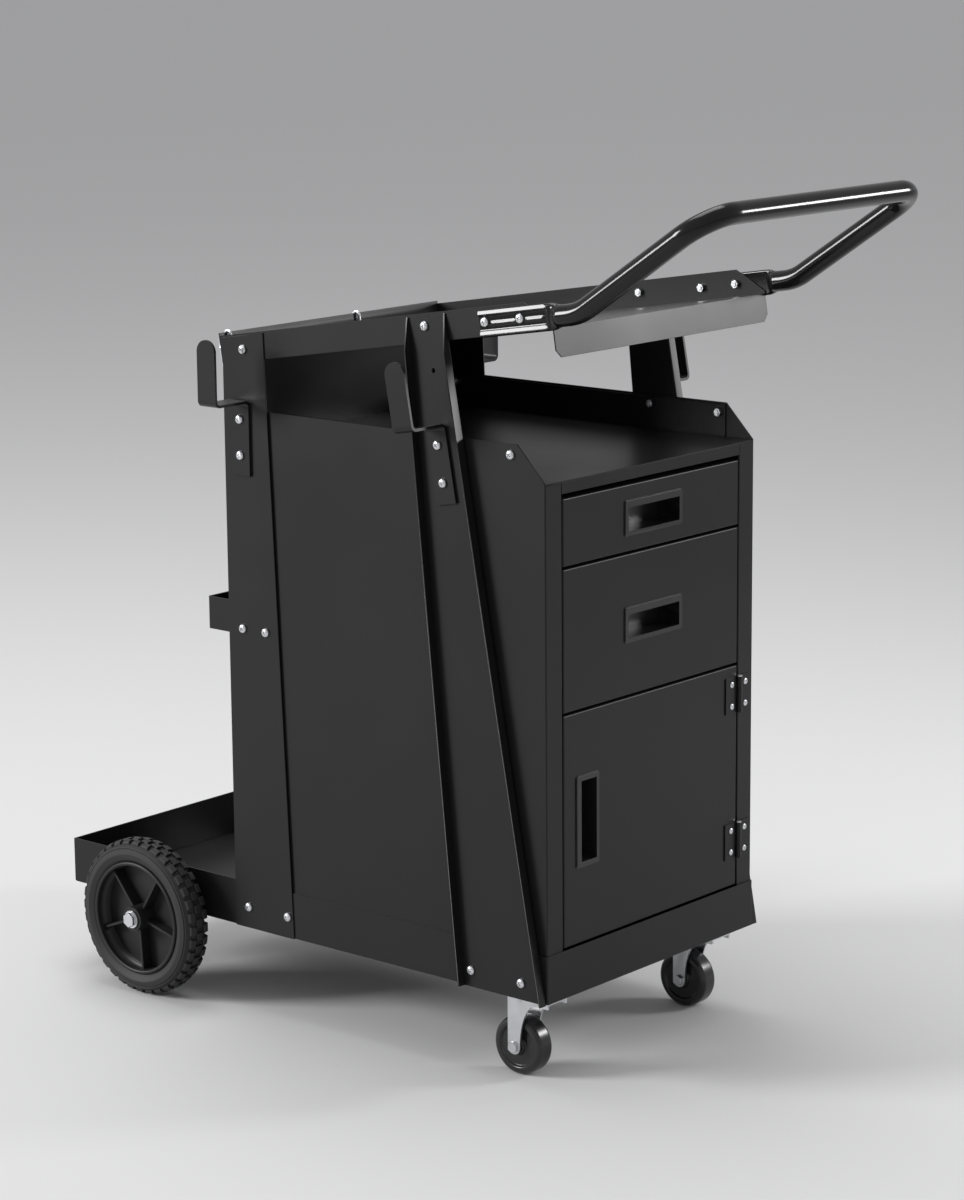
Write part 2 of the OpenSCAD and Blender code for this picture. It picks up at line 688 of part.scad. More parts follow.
module hinge_screw_holes()
    hinge_screw_places() rotate([90, 0, 0]) translate([0, 0, -2 * sheet])
        cylinder(h = 4 * sheet, r = hinge_hole_r);
small_screw_l = 7;
module small_screw() {
    head(2 * hinge_screw_r, 1.6);
    translate([0, 0, -small_screw_l]) cylinder(h = small_screw_l, r = hinge_screw_r);
}
module frame_screws() color(ZINC) {
    both_sides() left_screws();
    for (x = [-caster_x, caster_x], dx = [-1, 1], dy = [-1, 1])
        translate([x + dx * plate_hole, caster_y + dy * plate_hole, plate_z]) rotate([180, 0, 0])
            screw(sheet + plate_t);
    for (x = [-saddle_x, saddle_x], dy = [-1, 1])
        translate([x, axle_y + dy * saddle_hole, floor_z]) screw(sheet + saddle_t);
    hinge_screw_places() translate([0, -sheet, 0]) rotate([90, 0, 0]) small_screw();
}

// Rear axle and what holds it
saddle_x = skirt_x - 27;
saddle_w = 30;
saddle_l = 56;
saddle_t = 3;
saddle_hole = 18;
hub_gap = 11;
side_play = 0.3;
axle_nut_h = 4.7;
hub_x0 = skirt_x + hub_gap;
hub_x1 = overall_w / 2 - axle_nut_h - sheet - side_play;
axle_z = wheel_d / 2;
tyre_x0 = hub_x0 + 2;
module rear_axle() color(ZINC) cross_bar(-overall_w / 2, overall_w / 2, axle_y, axle_z, axle_d / 2);
module side_shape(x0, x1)
    translate([x0, axle_y, axle_z]) rotate([90, 0, 90]) linear_extrude(x1 - x0) children();
module axle_saddles() color(ZINC) for (x = [-saddle_x, saddle_x]) difference() {
    r = axle_d / 2 + shaft_gap;
    top = pan_z - axle_z;
    slot = r - 0.2;
    side_shape(x - saddle_w / 2, x + saddle_w / 2) difference() {
        union() {
            circle(r + saddle_t);
            translate([-saddle_l / 2, top - saddle_t]) square([saddle_l, saddle_t]);
        }
        circle(r);
        translate([-slot, 0]) square([2 * slot, top + 1]);
        translate([-saddle_l, top]) square([2 * saddle_l, r]);
    }
    for (dy = [-1, 1]) translate([x, axle_y + dy * saddle_hole, pan_z - saddle_t - 1])
        cylinder(h = saddle_t + 2, r = hole_r);
}
module ring_x(x0, x1, r_in, r_out) difference() {
    cross_bar(x0, x1, axle_y, axle_z, r_out);
    cross_bar(x0 - 1, x1 + 1, axle_y, axle_z, r_in);
}
// Sleeves inside the wheels and washers outside them
module axle_spacers() color(ZINC) both_sides() {
    ring_x(-hub_x0 + side_play, -skirt_x, axle_d / 2 + shaft_gap, axle_d / 2 + 2 * sheet);
    ring_x(-hub_x1 - side_play - sheet, -hub_x1 - side_play, axle_d / 2 + shaft_gap, axle_d);
}
module axle_nuts() color(ZINC) both_sides() difference() {
    nut_x = overall_w / 2 - axle_nut_h;
    translate([-nut_x, axle_y, axle_z]) rotate([0, -90, 0]) nut(axle_d * 0.85, axle_nut_h);
    cross_bar(-overall_w, 0, axle_y, axle_z, axle_d / 2 + shaft_gap);
}

// Rear wheels
module around_axle() translate([0, axle_y, axle_z]) rotate([0, -90, 0]) children();
groove_w = 4.4;
module tyre() color(RUBBER) around_axle() difference() {
    r = wheel_d / 2;
    bead_r = bead_d / 2;
    side = 9;
    out_x = tyre_x0 + tyre_w;
    rotate_extrude($fn = 96) polygon([[bead_r, tyre_x0], [r - side, tyre_x0], [r - 2, tyre_x0 + 4],
        [r, tyre_x0 + tyre_w / 2], [r - 2, out_x - 4], [r - side, out_x],
        [bead_r + 6, out_x - 1], [bead_r, out_x - 3]]);
    for (i = [0:tread_count - 1], row = [0, 1]) rotate((i + row / 2) * 360 / tread_count)
        translate([r - 4, -groove_w / 2, row == 0 ? tyre_x0 - 1 : out_x - side])
            cube([8, groove_w, side + 1]);
}
bush_r = 8;
bush_l = 12;
rib_turn = 40;
module rim() color(PLASTIC) around_axle() difference() {
    band = 5;
    r = bead_d / 2;
    in_x = tyre_x0 + 2;
    out_x = tyre_x0 + tyre_w;
    web_x = tyre_x0 + 9;
    hub_r = bush_r + 6;
    rib_t = 4;
    rib_h = tyre_w / 2;
    root = 4;
    union() {
        rotate_extrude($fn = 96) polygon([[r - band, in_x], [r, in_x], [r, out_x - 3],
            [r - 2, out_x - 1], [r - band, out_x - 2]]);
        translate([0, 0, web_x]) cylinder(h = rib_t, r = r - band / 4);
        translate([0, 0, hub_x0]) cylinder(h = hub_x1 - hub_x0, r = hub_r);
        for (i = [0:rib_count - 1]) rotate(rib_turn + i * 360 / rib_count)
            translate([hub_r - root, -rib_t / 2, web_x + root / 4])
                cube([r - band / 2 - hub_r + root, rib_t, rib_h - root / 4]);
    }
    translate([0, 0, hub_x0 - 1]) cylinder(h = hub_x1 - hub_x0 + 2, r = bush_r);
}
module bushes() color(BLACK) around_axle() for (z = [hub_x0, hub_x1 - bush_l]) difference() {
    translate([0, 0, z]) cylinder(h = bush_l, r = bush_r);
    translate([0, 0, z - 1]) cylinder(h = bush_l + 2, r = axle_d / 2 + shaft_gap);
}

// Front casters
plate_t = 2.5;
plate_w = 56;
plate_hole = 21;
fork_t = 2.5;
fork_gap = 1.5;
crown_r = 22;
kingpin_r = 4;
fork_x = caster_w / 2 + fork_gap;
plate_z = pan_z - plate_t;
race_h = 4;
crown_z = plate_z - race_h;
caster_z = caster_d / 2;
module at_caster() translate([-caster_x, caster_y, 0]) children();
module caster_plate() color(ZINC) at_caster() difference() {
    union() {
        translate([-plate_w / 2, -plate_w / 2, plate_z]) cube([plate_w, plate_w, plate_t]);
        translate([0, 0, crown_z + side_play]) cylinder(h = race_h, r = crown_r - 3);
    }
    translate([0, 0, crown_z - 1]) cylinder(h = race_h + plate_t + 2, r = kingpin_r);
    for (dx = [-1, 1], dy = [-1, 1])
        translate([dx * plate_hole, dy * plate_hole, plate_z - 1]) cylinder(h = plate_t + 2, r = hole_r);
}
module caster_kingpin() color(ZINC) at_caster() {
    collar = 3;
    collar_z = crown_z - fork_t - side_play;
    translate([0, 0, collar_z - collar]) cylinder(h = collar, r = kingpin_r + collar);
    translate([0, 0, collar_z - 1]) cylinder(h = pan_z - collar_z + 1, r = kingpin_r);
}
module caster_fork() color(ZINC) at_caster() difference() {
    boss = 8;
    front = caster_trail - boss;
    rear = caster_trail + boss;
    out = fork_x + fork_t;
    arc = [front + 8, crown_z - fork_t - 4 - caster_z];
    union() {
        translate([0, 0, crown_z - fork_t]) cylinder(h = fork_t, r = crown_r);
        box([-out, -fork_horn, crown_z - fork_t], [out, rear, crown_z]);
        for (x0 = [-out, fork_x]) {
            side_plate(x0, x0 + fork_t, concat([[-fork_horn, crown_z], [-fork_horn, caster_z + arc[1]]],
                [for (a = [0:9:90]) [front - arc[0] * (1 - sin(a)), caster_z + arc[1] * cos(a)]],
                [[rear, caster_z], [rear, crown_z]]));
            cross_bar(x0, x0 + fork_t, caster_trail, caster_z, boss);
        }
    }
    translate([0, 0, crown_z - fork_t - 1]) cylinder(h = fork_t + 2, r = kingpin_r + shaft_gap);
    cross_bar(-out - 1, out + 1, caster_trail, caster_z, caster_bolt_d / 2);
}
module caster_bolt() color(ZINC) at_caster() {
    end = fork_x + fork_t;
    cross_bar(-end, end, caster_trail, caster_z, caster_bolt_d / 2);
    for (s = [-1, 1]) translate([s * end, caster_trail, caster_z]) rotate([0, s * 90, 0])
        nut(caster_bolt_d * 0.8, 3.5);
}
module caster_wheel() color(RUBBER) at_caster()
    translate([0, caster_trail, caster_z]) rotate([0, -90, 0]) {
        r = caster_d / 2;
        w = caster_w / 2;
        bore = caster_bolt_d / 2 + shaft_gap;
        half = [[bore, w], [9, w], [10, w - 3], [r - 9, w - 3], [r - 8, w - 1], [r - 3, w - 1], [r, w - 4]];
        rotate_extrude($fn = 72) polygon(concat([for (p = half) [p[0], -p[1]]],
            [for (i = [len(half) - 1:-1:0]) half[i]]));
    }

// Drawers. A front is a shallow folded pan with an opening for its pull.
module folded_front(x0, x1, z0, z1) difference() {
    box([x0, face_y, z0], [x1, bins_y, z1]);
    box([x0 + sheet, face_y + sheet, z0 + sheet], [x1 - sheet, bins_y + 1, z1 - sheet]);
}
pull_band_top = 8;
pull_band_low = 5;
pull_band_side = 6;
pull_fit = 0.1;
module pull_opening(grow) {
    w = pull_l - 2 * pull_band_side - 2 * grow;
    h = pull_h - pull_band_low - pull_band_top - 2 * grow;
    translate([-w / 2, grow - pull_h / 2 + pull_band_low]) square([w, h]);
}
module rounded(w, h, r) {
    square([w - 2 * r, h], center = true);
    square([w, h - 2 * r], center = true);
    for (sx = [-1, 1], sy = [-1, 1]) translate([sx * (w / 2 - r), sy * (h / 2 - r)]) circle(r);
}
module pull() color(PLASTIC) rotate([90, 0, 0]) difference() {
    union() {
        linear_extrude(pull_rim * 0.5) rounded(pull_l, pull_h, 3);
        linear_extrude(pull_rim) rounded(pull_l - 2, pull_h - 2, 2.5);
        translate([0, 0, -pull_d]) linear_extrude(pull_d + 0.1) pull_opening(-pull_wall);
    }
    translate([0, 0, pull_wall - pull_d]) linear_extrude(pull_d + pull_rim + 1) pull_opening(0);
}
module pull_cut() rotate([90, 0, 0]) translate([0, 0, -pull_d - pull_fit]) linear_extrude(2 * pull_d)
    pull_opening(-pull_wall - pull_fit);
module at_drawer_pull(z, h) translate([0, face_y, z + h / 2]) children();
module drawer_front(z, h) color(SATIN) difference() {
    folded_front(-front_x, front_x, z, z + h);
    at_drawer_pull(z, h) pull_cut();
}
// A bin, with ears at its sides that are fastened to the back of its front
module drawer_bin(z, h) color(BLACK) {
    w = bin_half;
    low = z + bin_lift;
    rim_z = z + h - bin_drop;
    ear_w = 16;
    difference() {
        box([-w - bin_sheet, bins_y, low], [w + bin_sheet, bins_y + bin_l + 2 * bin_sheet, rim_z]);
        box([-w, bins_y + bin_sheet, low + bin_sheet], [w, bins_y + bin_sheet + bin_l, z + h]);
        at_drawer_pull(z, h) pull_cut();
    }
    both_sides() difference() {
        box([-w - bin_sheet, face_y + sheet, low], [ear_w - w, bins_y, rim_z]);
        box([-w, face_y + sheet + bin_sheet, low - 1], [w, bins_y + 1, rim_z + 1]);
    }
}

// Drawer slides: a fixed channel open to the middle, and a drawer channel inside it
rail_sheet = 1.2;
rails_y = face_y + post_return + 6;
outer_rail_reach = 9;
module outer_rails(z) color(ZINC) both_sides() difference() {
    box([-bin_x - rail_t, rails_y, z - rail_h / 2],
        [-bin_x - rail_t + outer_rail_reach, rails_y + rail_l, z + rail_h / 2]);
    box([-bin_x - rail_t + rail_sheet, rails_y - 1, z - rail_h / 2 + rail_sheet],
        [0, rails_y + rail_l + 1, z + rail_h / 2 - rail_sheet]);
}
module inner_rails(z) color(ZINC) both_sides() difference() {
    high = rail_h / 2 - rail_sheet - rail_gap;
    length = min(bin_l, rail_l) - 6;
    box([-bin_x - rail_t + rail_sheet + 1, rails_y, z - high], [-bin_x, rails_y + length, z + high]);
    box([-bin_x - rail_t, rails_y - 1, z - high + rail_sheet],
        [-bin_x - rail_sheet, rails_y + length + 1, z + high - rail_sheet]);
}
drawer_1_rail_z = drawer_1_z + drawer_1_h / 2 - 1;
drawer_2_rail_z = drawer_2_z + drawer_2_h / 2;
module rail_brackets() color(BLACK)
    for (z = [drawer_1_rail_z, drawer_2_rail_z]) both_sides() difference() {
        half = rail_h / 2;
        near = -bin_x - rail_t;
        box([-inside_x, rails_y, z - half], [near, back_y - sheet, z + half]);
        box([-inside_x - 1, rails_y - 1, z - half + sheet], [near - sheet, back_y, z + half - sheet]);
    }

// Door, its hinges and its catch
hinge_x = post_x - side_gap / 2;
barrel_r = barrel_d / 2;
hinge_y = face_y - barrel_r;
door_x1 = front_x;
hinge_screw_x = 12;
hinge_screw_z = 12;
hinge_screw_r = 1.7;
hinge_hole_r = hinge_screw_r + 0.1;
knuckle_gap = 0.3;
module at_door_pull() translate([-door_pull_x, face_y, door_pull_z]) rotate([0, -90, 0]) children();
module door_panel() color(SATIN) difference() {
    folded_front(-front_x, door_x1, door_z, door_top_z);
    at_door_pull() pull_cut();
    translate([2 * hinge_x, 0, 0]) mirror([1, 0, 0]) hinge_screw_holes();
}
// One leaf with its knuckles; share counts the thirds of the barrel that it holds
module leaf(z, thirds) difference() {
    third = hinge_h / 3;
    low = z - hinge_h / 2;
    union() {
        box([hinge_x + barrel_r + knuckle_gap, face_y - sheet, low],
            [hinge_x + leaf_w, face_y, low + hinge_h]);
        for (i = thirds) {
            z0 = low + i * third + knuckle_gap / 2;
            z1 = z0 + third - knuckle_gap;
            translate([hinge_x, hinge_y, z0]) cylinder(h = z1 - z0, r = barrel_r);
            box([hinge_x, face_y - sheet, z0], [hinge_x + barrel_r + 1, face_y, z1]);
        }
    }
    translate([hinge_x, hinge_y, z - hinge_h])
        cylinder(h = 2 * hinge_h, r = hinge_pin_d / 2 + shaft_gap);
    hinge_screw_holes();
}
module hinge_frame_leaves() color(SATIN) for (z = [hinge_top_z, hinge_low_z]) leaf(z, [0, 2]);
module hinge_door_leaves() color(SATIN) translate([2 * hinge_x, 0, 0]) mirror([1, 0, 0])
    for (z = [hinge_top_z, hinge_low_z]) leaf(z, [1]);
module hinge_pins() color(ZINC)
    for (z = [hinge_top_z, hinge_low_z]) translate([hinge_x, hinge_y, z - hinge_h / 2]) {
        cylinder(h = hinge_h, r = hinge_pin_d / 2);
        translate([0, 0, hinge_h]) cylinder(h = 1, r = barrel_r);
    }
module door_screws() color(ZINC) translate([2 * hinge_x, 0, 0]) mirror([1, 0, 0])
    hinge_screw_places() translate([0, -sheet, 0]) rotate([90, 0, 0]) small_screw();
strike_t = 1.5;
strike_w = 30;
strike_h = 26;
catch_w = 40;
catch_l = 20;
module door_catch() color(PLASTIC) {
    nose_y = bins_y + strike_t + side_play;
    flange_z = divider_z - divider_flange;
    low = door_top_z - strike_h;
    half = catch_w / 2;
    box([-half, divider_y + sheet, low], [half, divider_y + catch_l, divider_z - sheet]);
    box([-half, nose_y, low], [half, divider_y + sheet, flange_z]);
}
module catch_strike() color(ZINC)
    box([-strike_w / 2, bins_y, door_top_z - strike_h],
        [strike_w / 2, bins_y + strike_t, door_top_z]);

in_frame() base_pan();
in_frame() pan_rear_wall();
in_frame() side_panel();  // left_side_panel
in_frame() on_right() side_panel() on_right() hinge_screw_holes();  // right_side_panel
in_frame() back_panel();
in_frame() cabinet_top_shelf();
in_frame() cabinet_divider();
in_frame() rail_brackets();
in_frame() left_rear_upright_shape();  // left_rear_upright
in_frame() on_right() left_rear_upright_shape();  // right_rear_upright
in_frame() left_front_leg_shape();  // left_front_leg
in_frame() on_right() left_front_leg_shape();  // right_front_leg
in_frame() top_tray();
in_frame() handle_tube();
in_frame() at_front_hook() hook_shape();  // left_front_hook
in_frame() at_rear_hook() hook_shape();  // left_rear_hook
in_frame() on_right() at_front_hook() hook_shape();  // right_front_hook
in_frame() on_right() at_rear_hook() hook_shape();  // right_rear_hook
in_frame() tank_strap();
in_frame() tank_chain();
in_frame() chain_hooks();
in_frame() frame_screws();
in_frame() rear_axle();
in_frame() axle_saddles();
in_frame() axle_spacers();
in_frame() axle_nuts();
in_frame() tyre();  // left_wheel_tyre
in_frame() rim();  // left_wheel_rim
in_frame() bushes();  // left_wheel_bushes
in_frame() on_right() tyre();  // right_wheel_tyre
in_frame() on_right() rim();  // right_wheel_rim
in_frame() on_right() bushes();  // right_wheel_bushes
in_frame() caster_plate();  // left_caster_plate
in_frame() caster_kingpin();  // left_caster_kingpin
in_frame() caster_fork();  // left_caster_fork
in_frame() caster_bolt();  // left_caster_bolt
in_frame() caster_wheel();  // left_caster_wheel
in_frame() on_right() caster_plate();  // right_caster_plate
in_frame() on_right() caster_kingpin();  // right_caster_kingpin
in_frame() on_right() caster_fork();  // right_caster_fork
in_frame() on_right() caster_bolt();  // right_caster_bolt
in_frame() on_right() caster_wheel();  // right_caster_wheel
in_frame() drawer_bin(drawer_1_z, drawer_1_h);  // drawer_1_bin
in_frame() drawer_front(drawer_1_z, drawer_1_h);  // drawer_1_front
in_frame() at_drawer_pull(drawer_1_z, drawer_1_h) pull();  // drawer_1_pull
in_frame() inner_rails(drawer_1_rail_z);  // drawer_1_inner_rails
in_frame() outer_rails(drawer_1_rail_z);  // drawer_1_outer_rails
in_frame() drawer_bin(drawer_2_z, drawer_2_h);  // drawer_2_bin
in_frame() drawer_front(drawer_2_z, drawer_2_h);  // drawer_2_front
in_frame() at_drawer_pull(drawer_2_z, drawer_2_h) pull();  // drawer_2_pull
in_frame() inner_rails(drawer_2_rail_z);  // drawer_2_inner_rails
in_frame() outer_rails(drawer_2_rail_z);  // drawer_2_outer_rails
in_frame() door_panel();
in_frame() at_door_pull() pull();  // door_pull
in_frame() hinge_frame_leaves();
in_frame() hinge_door_leaves();
in_frame() hinge_pins();
in_frame() door_screws();
in_frame() door_catch();
in_frame() catch_strike();
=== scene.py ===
"""Looks of the welding cart: powder-coated sheet with rounded folds, zinc fasteners, knobbly tyres,
a bent tube handle with pressed ends, a tank chain, a pale studio and the camera."""

import json
import math

import bmesh
import bpy
from mathutils import Matrix, Vector

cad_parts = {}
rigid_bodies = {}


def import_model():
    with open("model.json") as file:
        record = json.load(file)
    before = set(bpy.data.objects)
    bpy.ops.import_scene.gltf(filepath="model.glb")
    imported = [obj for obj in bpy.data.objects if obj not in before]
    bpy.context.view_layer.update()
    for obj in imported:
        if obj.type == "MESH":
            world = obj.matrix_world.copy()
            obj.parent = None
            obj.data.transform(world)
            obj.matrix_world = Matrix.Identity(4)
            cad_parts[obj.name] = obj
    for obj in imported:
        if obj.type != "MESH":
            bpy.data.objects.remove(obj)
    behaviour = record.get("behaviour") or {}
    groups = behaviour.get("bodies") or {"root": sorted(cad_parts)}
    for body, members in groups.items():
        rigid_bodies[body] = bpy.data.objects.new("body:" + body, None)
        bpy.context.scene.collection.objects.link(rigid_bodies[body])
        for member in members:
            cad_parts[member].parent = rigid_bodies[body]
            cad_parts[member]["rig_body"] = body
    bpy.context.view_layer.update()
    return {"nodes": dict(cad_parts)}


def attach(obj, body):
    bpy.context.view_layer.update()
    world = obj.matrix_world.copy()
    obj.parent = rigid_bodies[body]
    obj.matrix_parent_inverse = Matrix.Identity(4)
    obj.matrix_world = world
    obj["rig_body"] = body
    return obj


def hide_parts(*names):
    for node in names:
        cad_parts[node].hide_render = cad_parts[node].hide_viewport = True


MM = 0.001

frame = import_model()

# Sizes and places are in millimetres. Y is counted from the front of the base pan.
FRONT_Y = -247

# Sheet metal: rounding of folds and of cut edges. An edge counts as sharp above an angle, and both
# faces at a fold are wider than the sheet's cut edge. The shortest fold and edge to be rounded are
# given as how many times their own rounding.
FOLD_R = 1.7
FOLD_STEPS = 4
EDGE_R = 0.3
SHARP = math.radians(35)
CUT_EDGE_W = 3
SHORTEST_FOLD = 4
SHORTEST_EDGE = 2.5

# Points nearer than this are one, and faces closer to flat than this are one
MERGE = 0.002
FLAT = math.radians(0.3)

# Tray and the pressed ends of the handle: where their front is, their section, the two beads on them
# and the distances behind their front at which the pressing starts and the section is drawn
TRAY_SLOPE = math.radians(9)
FLAT_FRONT = (-12.29, 805.24)
FLAT_L = 92
FLAT_H = 27
FLAT_T = 6
FLAT_RIM = 2
FLAT_ROUND = 1.4
FLAT_TAPER = 13
BEADS = ((7, 34), (44, 78))
BEAD_RAMP = 3
PRESS_START = 1.5
PRESS_RUN = 5
FLAT_STATIONS = (FLAT_L, 91.4, 84, 78, 75, 60, 47, 44, 34, 31, 28, 20, 12, 10, 8.5, 7, 5.5, 4, 3, 2.2, 1.5,
                 0.6, 0)

# Handle tube: it rises from the pressed ends over a knee and turns into the bar at two bends
TUBE_R = 11
TUBE_X = 180
TUBE_TURN = math.radians(-8.7)
HANDLE_SLOPE = math.radians(33.6)
BEND_R = 40
KNEE_R = 60
KNEE_RUN = 21.5
BAR = (-202, 914)

# Rear wheels and casters. The roller is a hair smaller than its axle is high.
AXLE_Y = 562
AXLE_Z = 89
WHEEL_R = 89
TYRE_X = (190, 224)
BEAD_R = 65
TREAD_COUNT = 36
CASTER_X = 142
CASTER_Y = 62
CASTER_Z = 31.5
CASTER_W = 24
ROLLER_R = 31.45
ROLLER_BORE_R = 4.1

# Screws: those with a large head have a nut, which sits a way in from the tip. Each cross is turned
# a little further than the last.
LARGE_HEAD_R = 4.5
NUT_FROM_TIP = 5
CROSS_TURN = 0.7

# Tank chain
WIRE_R = 1.5
WIRE_SIDES = 14
LINK_PITCH = 16
LINK_W = 11.5

# Camera and studio. The floor's half size is in metres.
CAMERA_AT = (-2735.9, -2109.2 + FRONT_Y, 1225.3)
CAMERA_YAW = math.radians(49.4)
CAMERA_PITCH = math.radians(12)
CAMERA_ROLL = math.radians(-0.5)
FOCAL_PX = 3395
PHOTO_H = 1200
SENSOR = 36
FLOOR_HALF = 90
FLOOR_COLOR = (0.64, 0.64, 0.64, 1)
SKY_COLOR = (0.52, 0.52, 0.53, 1)


# Node trees
class Wire:
    """An output socket that arithmetic can be written with."""

    def __init__(self, tree, socket):
        self.tree = tree
        self.socket = socket

    def math(self, operation, first, second):
        return self.tree.node("ShaderNodeMath", {"operation": operation}, {0: first, 1: second})

    def __add__(self, other):
        return self.math("ADD", self, other)

    def __radd__(self, other):
        return self.math("ADD", other, self)

    def __sub__(self, other):
        return self.math("SUBTRACT", self, other)

    def __rsub__(self, other):
        return self.math("SUBTRACT", other, self)

    def __mul__(self, other):
        return self.math("MULTIPLY", self, other)

    def __rmul__(self, other):
        return self.math("MULTIPLY", other, self)

    def __truediv__(self, other):
        return self.math("DIVIDE", self, other)

    def __rtruediv__(self, other):
        return self.math("DIVIDE", other, self)


class Wiring:
    """A shader or geometry tree whose nodes all come from one method."""

    def __init__(self, tree):
        self.tree = tree

    def node(self, kind, settings=None, sockets=None, out=0):
        made = self.tree.nodes.new(kind)
        for key, value in (settings or {}).items():
            setattr(made, key, value)
        for key, value in (sockets or {}).items():
            self.plug(made.inputs[key], value)
        return Wire(self, made.outputs[out]) if made.outputs else None

    def plug(self, socket, value):
        if isinstance(value, Wire):
            self.tree.links.new(value.socket, socket)
        else:
            socket.default_value = value


# Materials
BLOTCH_SHADE = 0.8
BLOTCH_GLOSS = 0.06


def surface(name, color, roughness, metallic=0.0, blotch_scale=9, grain_scale=700, grain_depth=0.03,
            sheen=0.5):
    """A finish with faint blotches in colour and gloss, and a fine grain. Its depth is in millimetres."""
    material = bpy.data.materials.new(name)
    material.use_nodes = True
    t = Wiring(material.node_tree)
    shader = material.node_tree.nodes["Principled BSDF"]
    place = t.node("ShaderNodeTexCoord", out="Object")
    blotches = t.node("ShaderNodeTexNoise", None, {"Vector": place, "Scale": blotch_scale, "Detail": 4})
    darker = tuple(channel * BLOTCH_SHADE for channel in color)
    shade = t.node("ShaderNodeMix", {"data_type": "RGBA"},
                   {"Factor": blotches, "A": (*darker, 1), "B": (*color, 1)}, out=2)
    t.plug(shader.inputs["Base Color"], shade)
    t.plug(shader.inputs["Roughness"], roughness + (blotches - 0.5) * (2 * BLOTCH_GLOSS))
    shader.inputs["Metallic"].default_value = metallic
    shader.inputs["Specular IOR Level"].default_value = sheen
    grain = t.node("ShaderNodeTexNoise", None, {"Vector": place, "Scale": grain_scale, "Detail": 2})
    bump = t.node("ShaderNodeBump", None, {"Height": grain, "Distance": grain_depth * MM, "Strength": 1.0})
    t.plug(shader.inputs["Normal"], bump)
    return material


MATERIALS = {
    "powder_coat": surface("powder_coat", (0.0115, 0.0115, 0.012), 0.34, sheen=0.24),
    "tube_paint": surface("tube_paint", (0.006, 0.006, 0.0065), 0.15, grain_depth=0.006, sheen=0.3),
    "zinc": surface("zinc_plate", (0.74, 0.75, 0.77), 0.3, metallic=1.0, blotch_scale=60, grain_depth=0.01),
    "rubber": surface("tyre_rubber", (0.02, 0.02, 0.02), 0.6, grain_scale=450, grain_depth=0.08, sheen=0.35),
    "roller": surface("roller_tread", (0.014, 0.014, 0.015), 0.25, grain_depth=0.01),
    "rim_plastic": surface("rim_plastic", (0.013, 0.013, 0.0135), 0.45, grain_scale=900, sheen=0.3),
    "pull_plastic": surface("pull_plastic", (0.012, 0.012, 0.0125), 0.3, grain_scale=1100, grain_depth=0.012),
}


# Pieces
def at(x, y, z):
    """A point in metres from millimetres, with Y counted from the front of the pan."""
    return Vector((x, y + FRONT_Y, z)) * MM


def new_piece(name, data):
    piece = bpy.data.objects.new(name, data)
    bpy.context.scene.collection.objects.link(piece)
    return piece


def put_in_order(items, key):
    """Sort a shape's points, edges or faces."""
    places = {item: i for i, item in enumerate(sorted(items, key=key))}
    items.sort(key=places.get)
    items.index_update()


def piece_of(name, bm, outward=True):
    """A shape made a piece, in an order that every run repeats. The faces of a new shape are turned
    outwards first."""
    if outward:
        bmesh.ops.recalc_face_normals(bm, faces=bm.faces)
    put_in_order(bm.verts, lambda v: tuple(v.co))
    put_in_order(bm.edges, lambda e: sorted(v.index for v in e.verts))
    put_in_order(bm.faces, lambda f: (-len(f.verts), sorted(v.index for v in f.verts)))
    mesh = bpy.data.meshes.new(name)
    bm.to_mesh(mesh)
    bm.free()
    return new_piece(name, mesh)


def baked(piece):
    """The piece with its modifiers turned into a mesh of its own."""
    bpy.context.view_layer.update()
    graph = bpy.context.evaluated_depsgraph_get()
    mesh = bpy.data.meshes.new_from_object(piece.evaluated_get(graph), preserve_all_data_layers=True,
                                           depsgraph=graph)
    piece.modifiers.clear()
    piece.data = mesh
    return piece


def smooth(piece, angle):
    """Smooth shading that keeps large faces flat and edges above the angle sharp."""
    piece.data.shade_smooth()
    piece.data.set_sharp_from_angle(angle=math.radians(angle))
    weights = piece.modifiers.new("weights", "WEIGHTED_NORMAL")
    weights.weight = 100
    weights.keep_sharp = True
    baked(piece)


def paint(piece, finish):
    piece.data.materials.clear()
    piece.data.materials.append(MATERIALS[finish])


def settle(piece, finish, node, angle=40):
    """Give a finished piece its material, hang it on its node's body and let it stand for the node."""
    paint(piece, finish)
    smooth(piece, angle)
    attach(piece, frame["nodes"][node]["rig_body"])
    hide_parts(node)


def shape_of(node):
    """A node's own shape, with points at one place made one."""
    bm = bmesh.new()
    bm.from_mesh(frame["nodes"][node].data)
    bmesh.ops.remove_doubles(bm, verts=bm.verts, dist=MERGE * MM)
    return bm


def width_of(face):
    """How wide a long face is across."""
    return 2 * face.calc_area() / max(face.calc_perimeter(), 1e-9)


def round_edges(bm, edges, radius, segments):
    if edges:
        bmesh.ops.bevel(bm, geom=edges, offset=radius * MM, offset_type="OFFSET", segments=segments,
                        profile=0.5, affect="EDGES", clamp_overlap=True)


def soften(node, finish, fold=0.0, edge=EDGE_R):
    """Stand a copy in for a node, with its folds rounded and its cut edges broken."""
    bm = shape_of(node)
    bmesh.ops.dissolve_limit(bm, angle_limit=FLAT, verts=bm.verts, edges=bm.edges)
    sharp = [e for e in bm.edges if len(e.link_faces) == 2 and e.calc_face_angle(0) > SHARP
             and e.calc_face_angle_signed() > 0]
    folds = []
    if fold:
        folds = [e for e in sharp if min(width_of(f) for f in e.link_faces) > CUT_EDGE_W * MM
                 and e.calc_length() > SHORTEST_FOLD * fold * MM]
    kept = set(folds)
    others = [e for e in sharp if e not in kept and e.calc_length() > SHORTEST_EDGE * edge * MM]
    round_edges(bm, folds, fold, FOLD_STEPS)
    round_edges(bm, [e for e in others if e.is_valid], edge, 1)
    settle(piece_of(node + "_skin", bm, outward=False), finish, node)


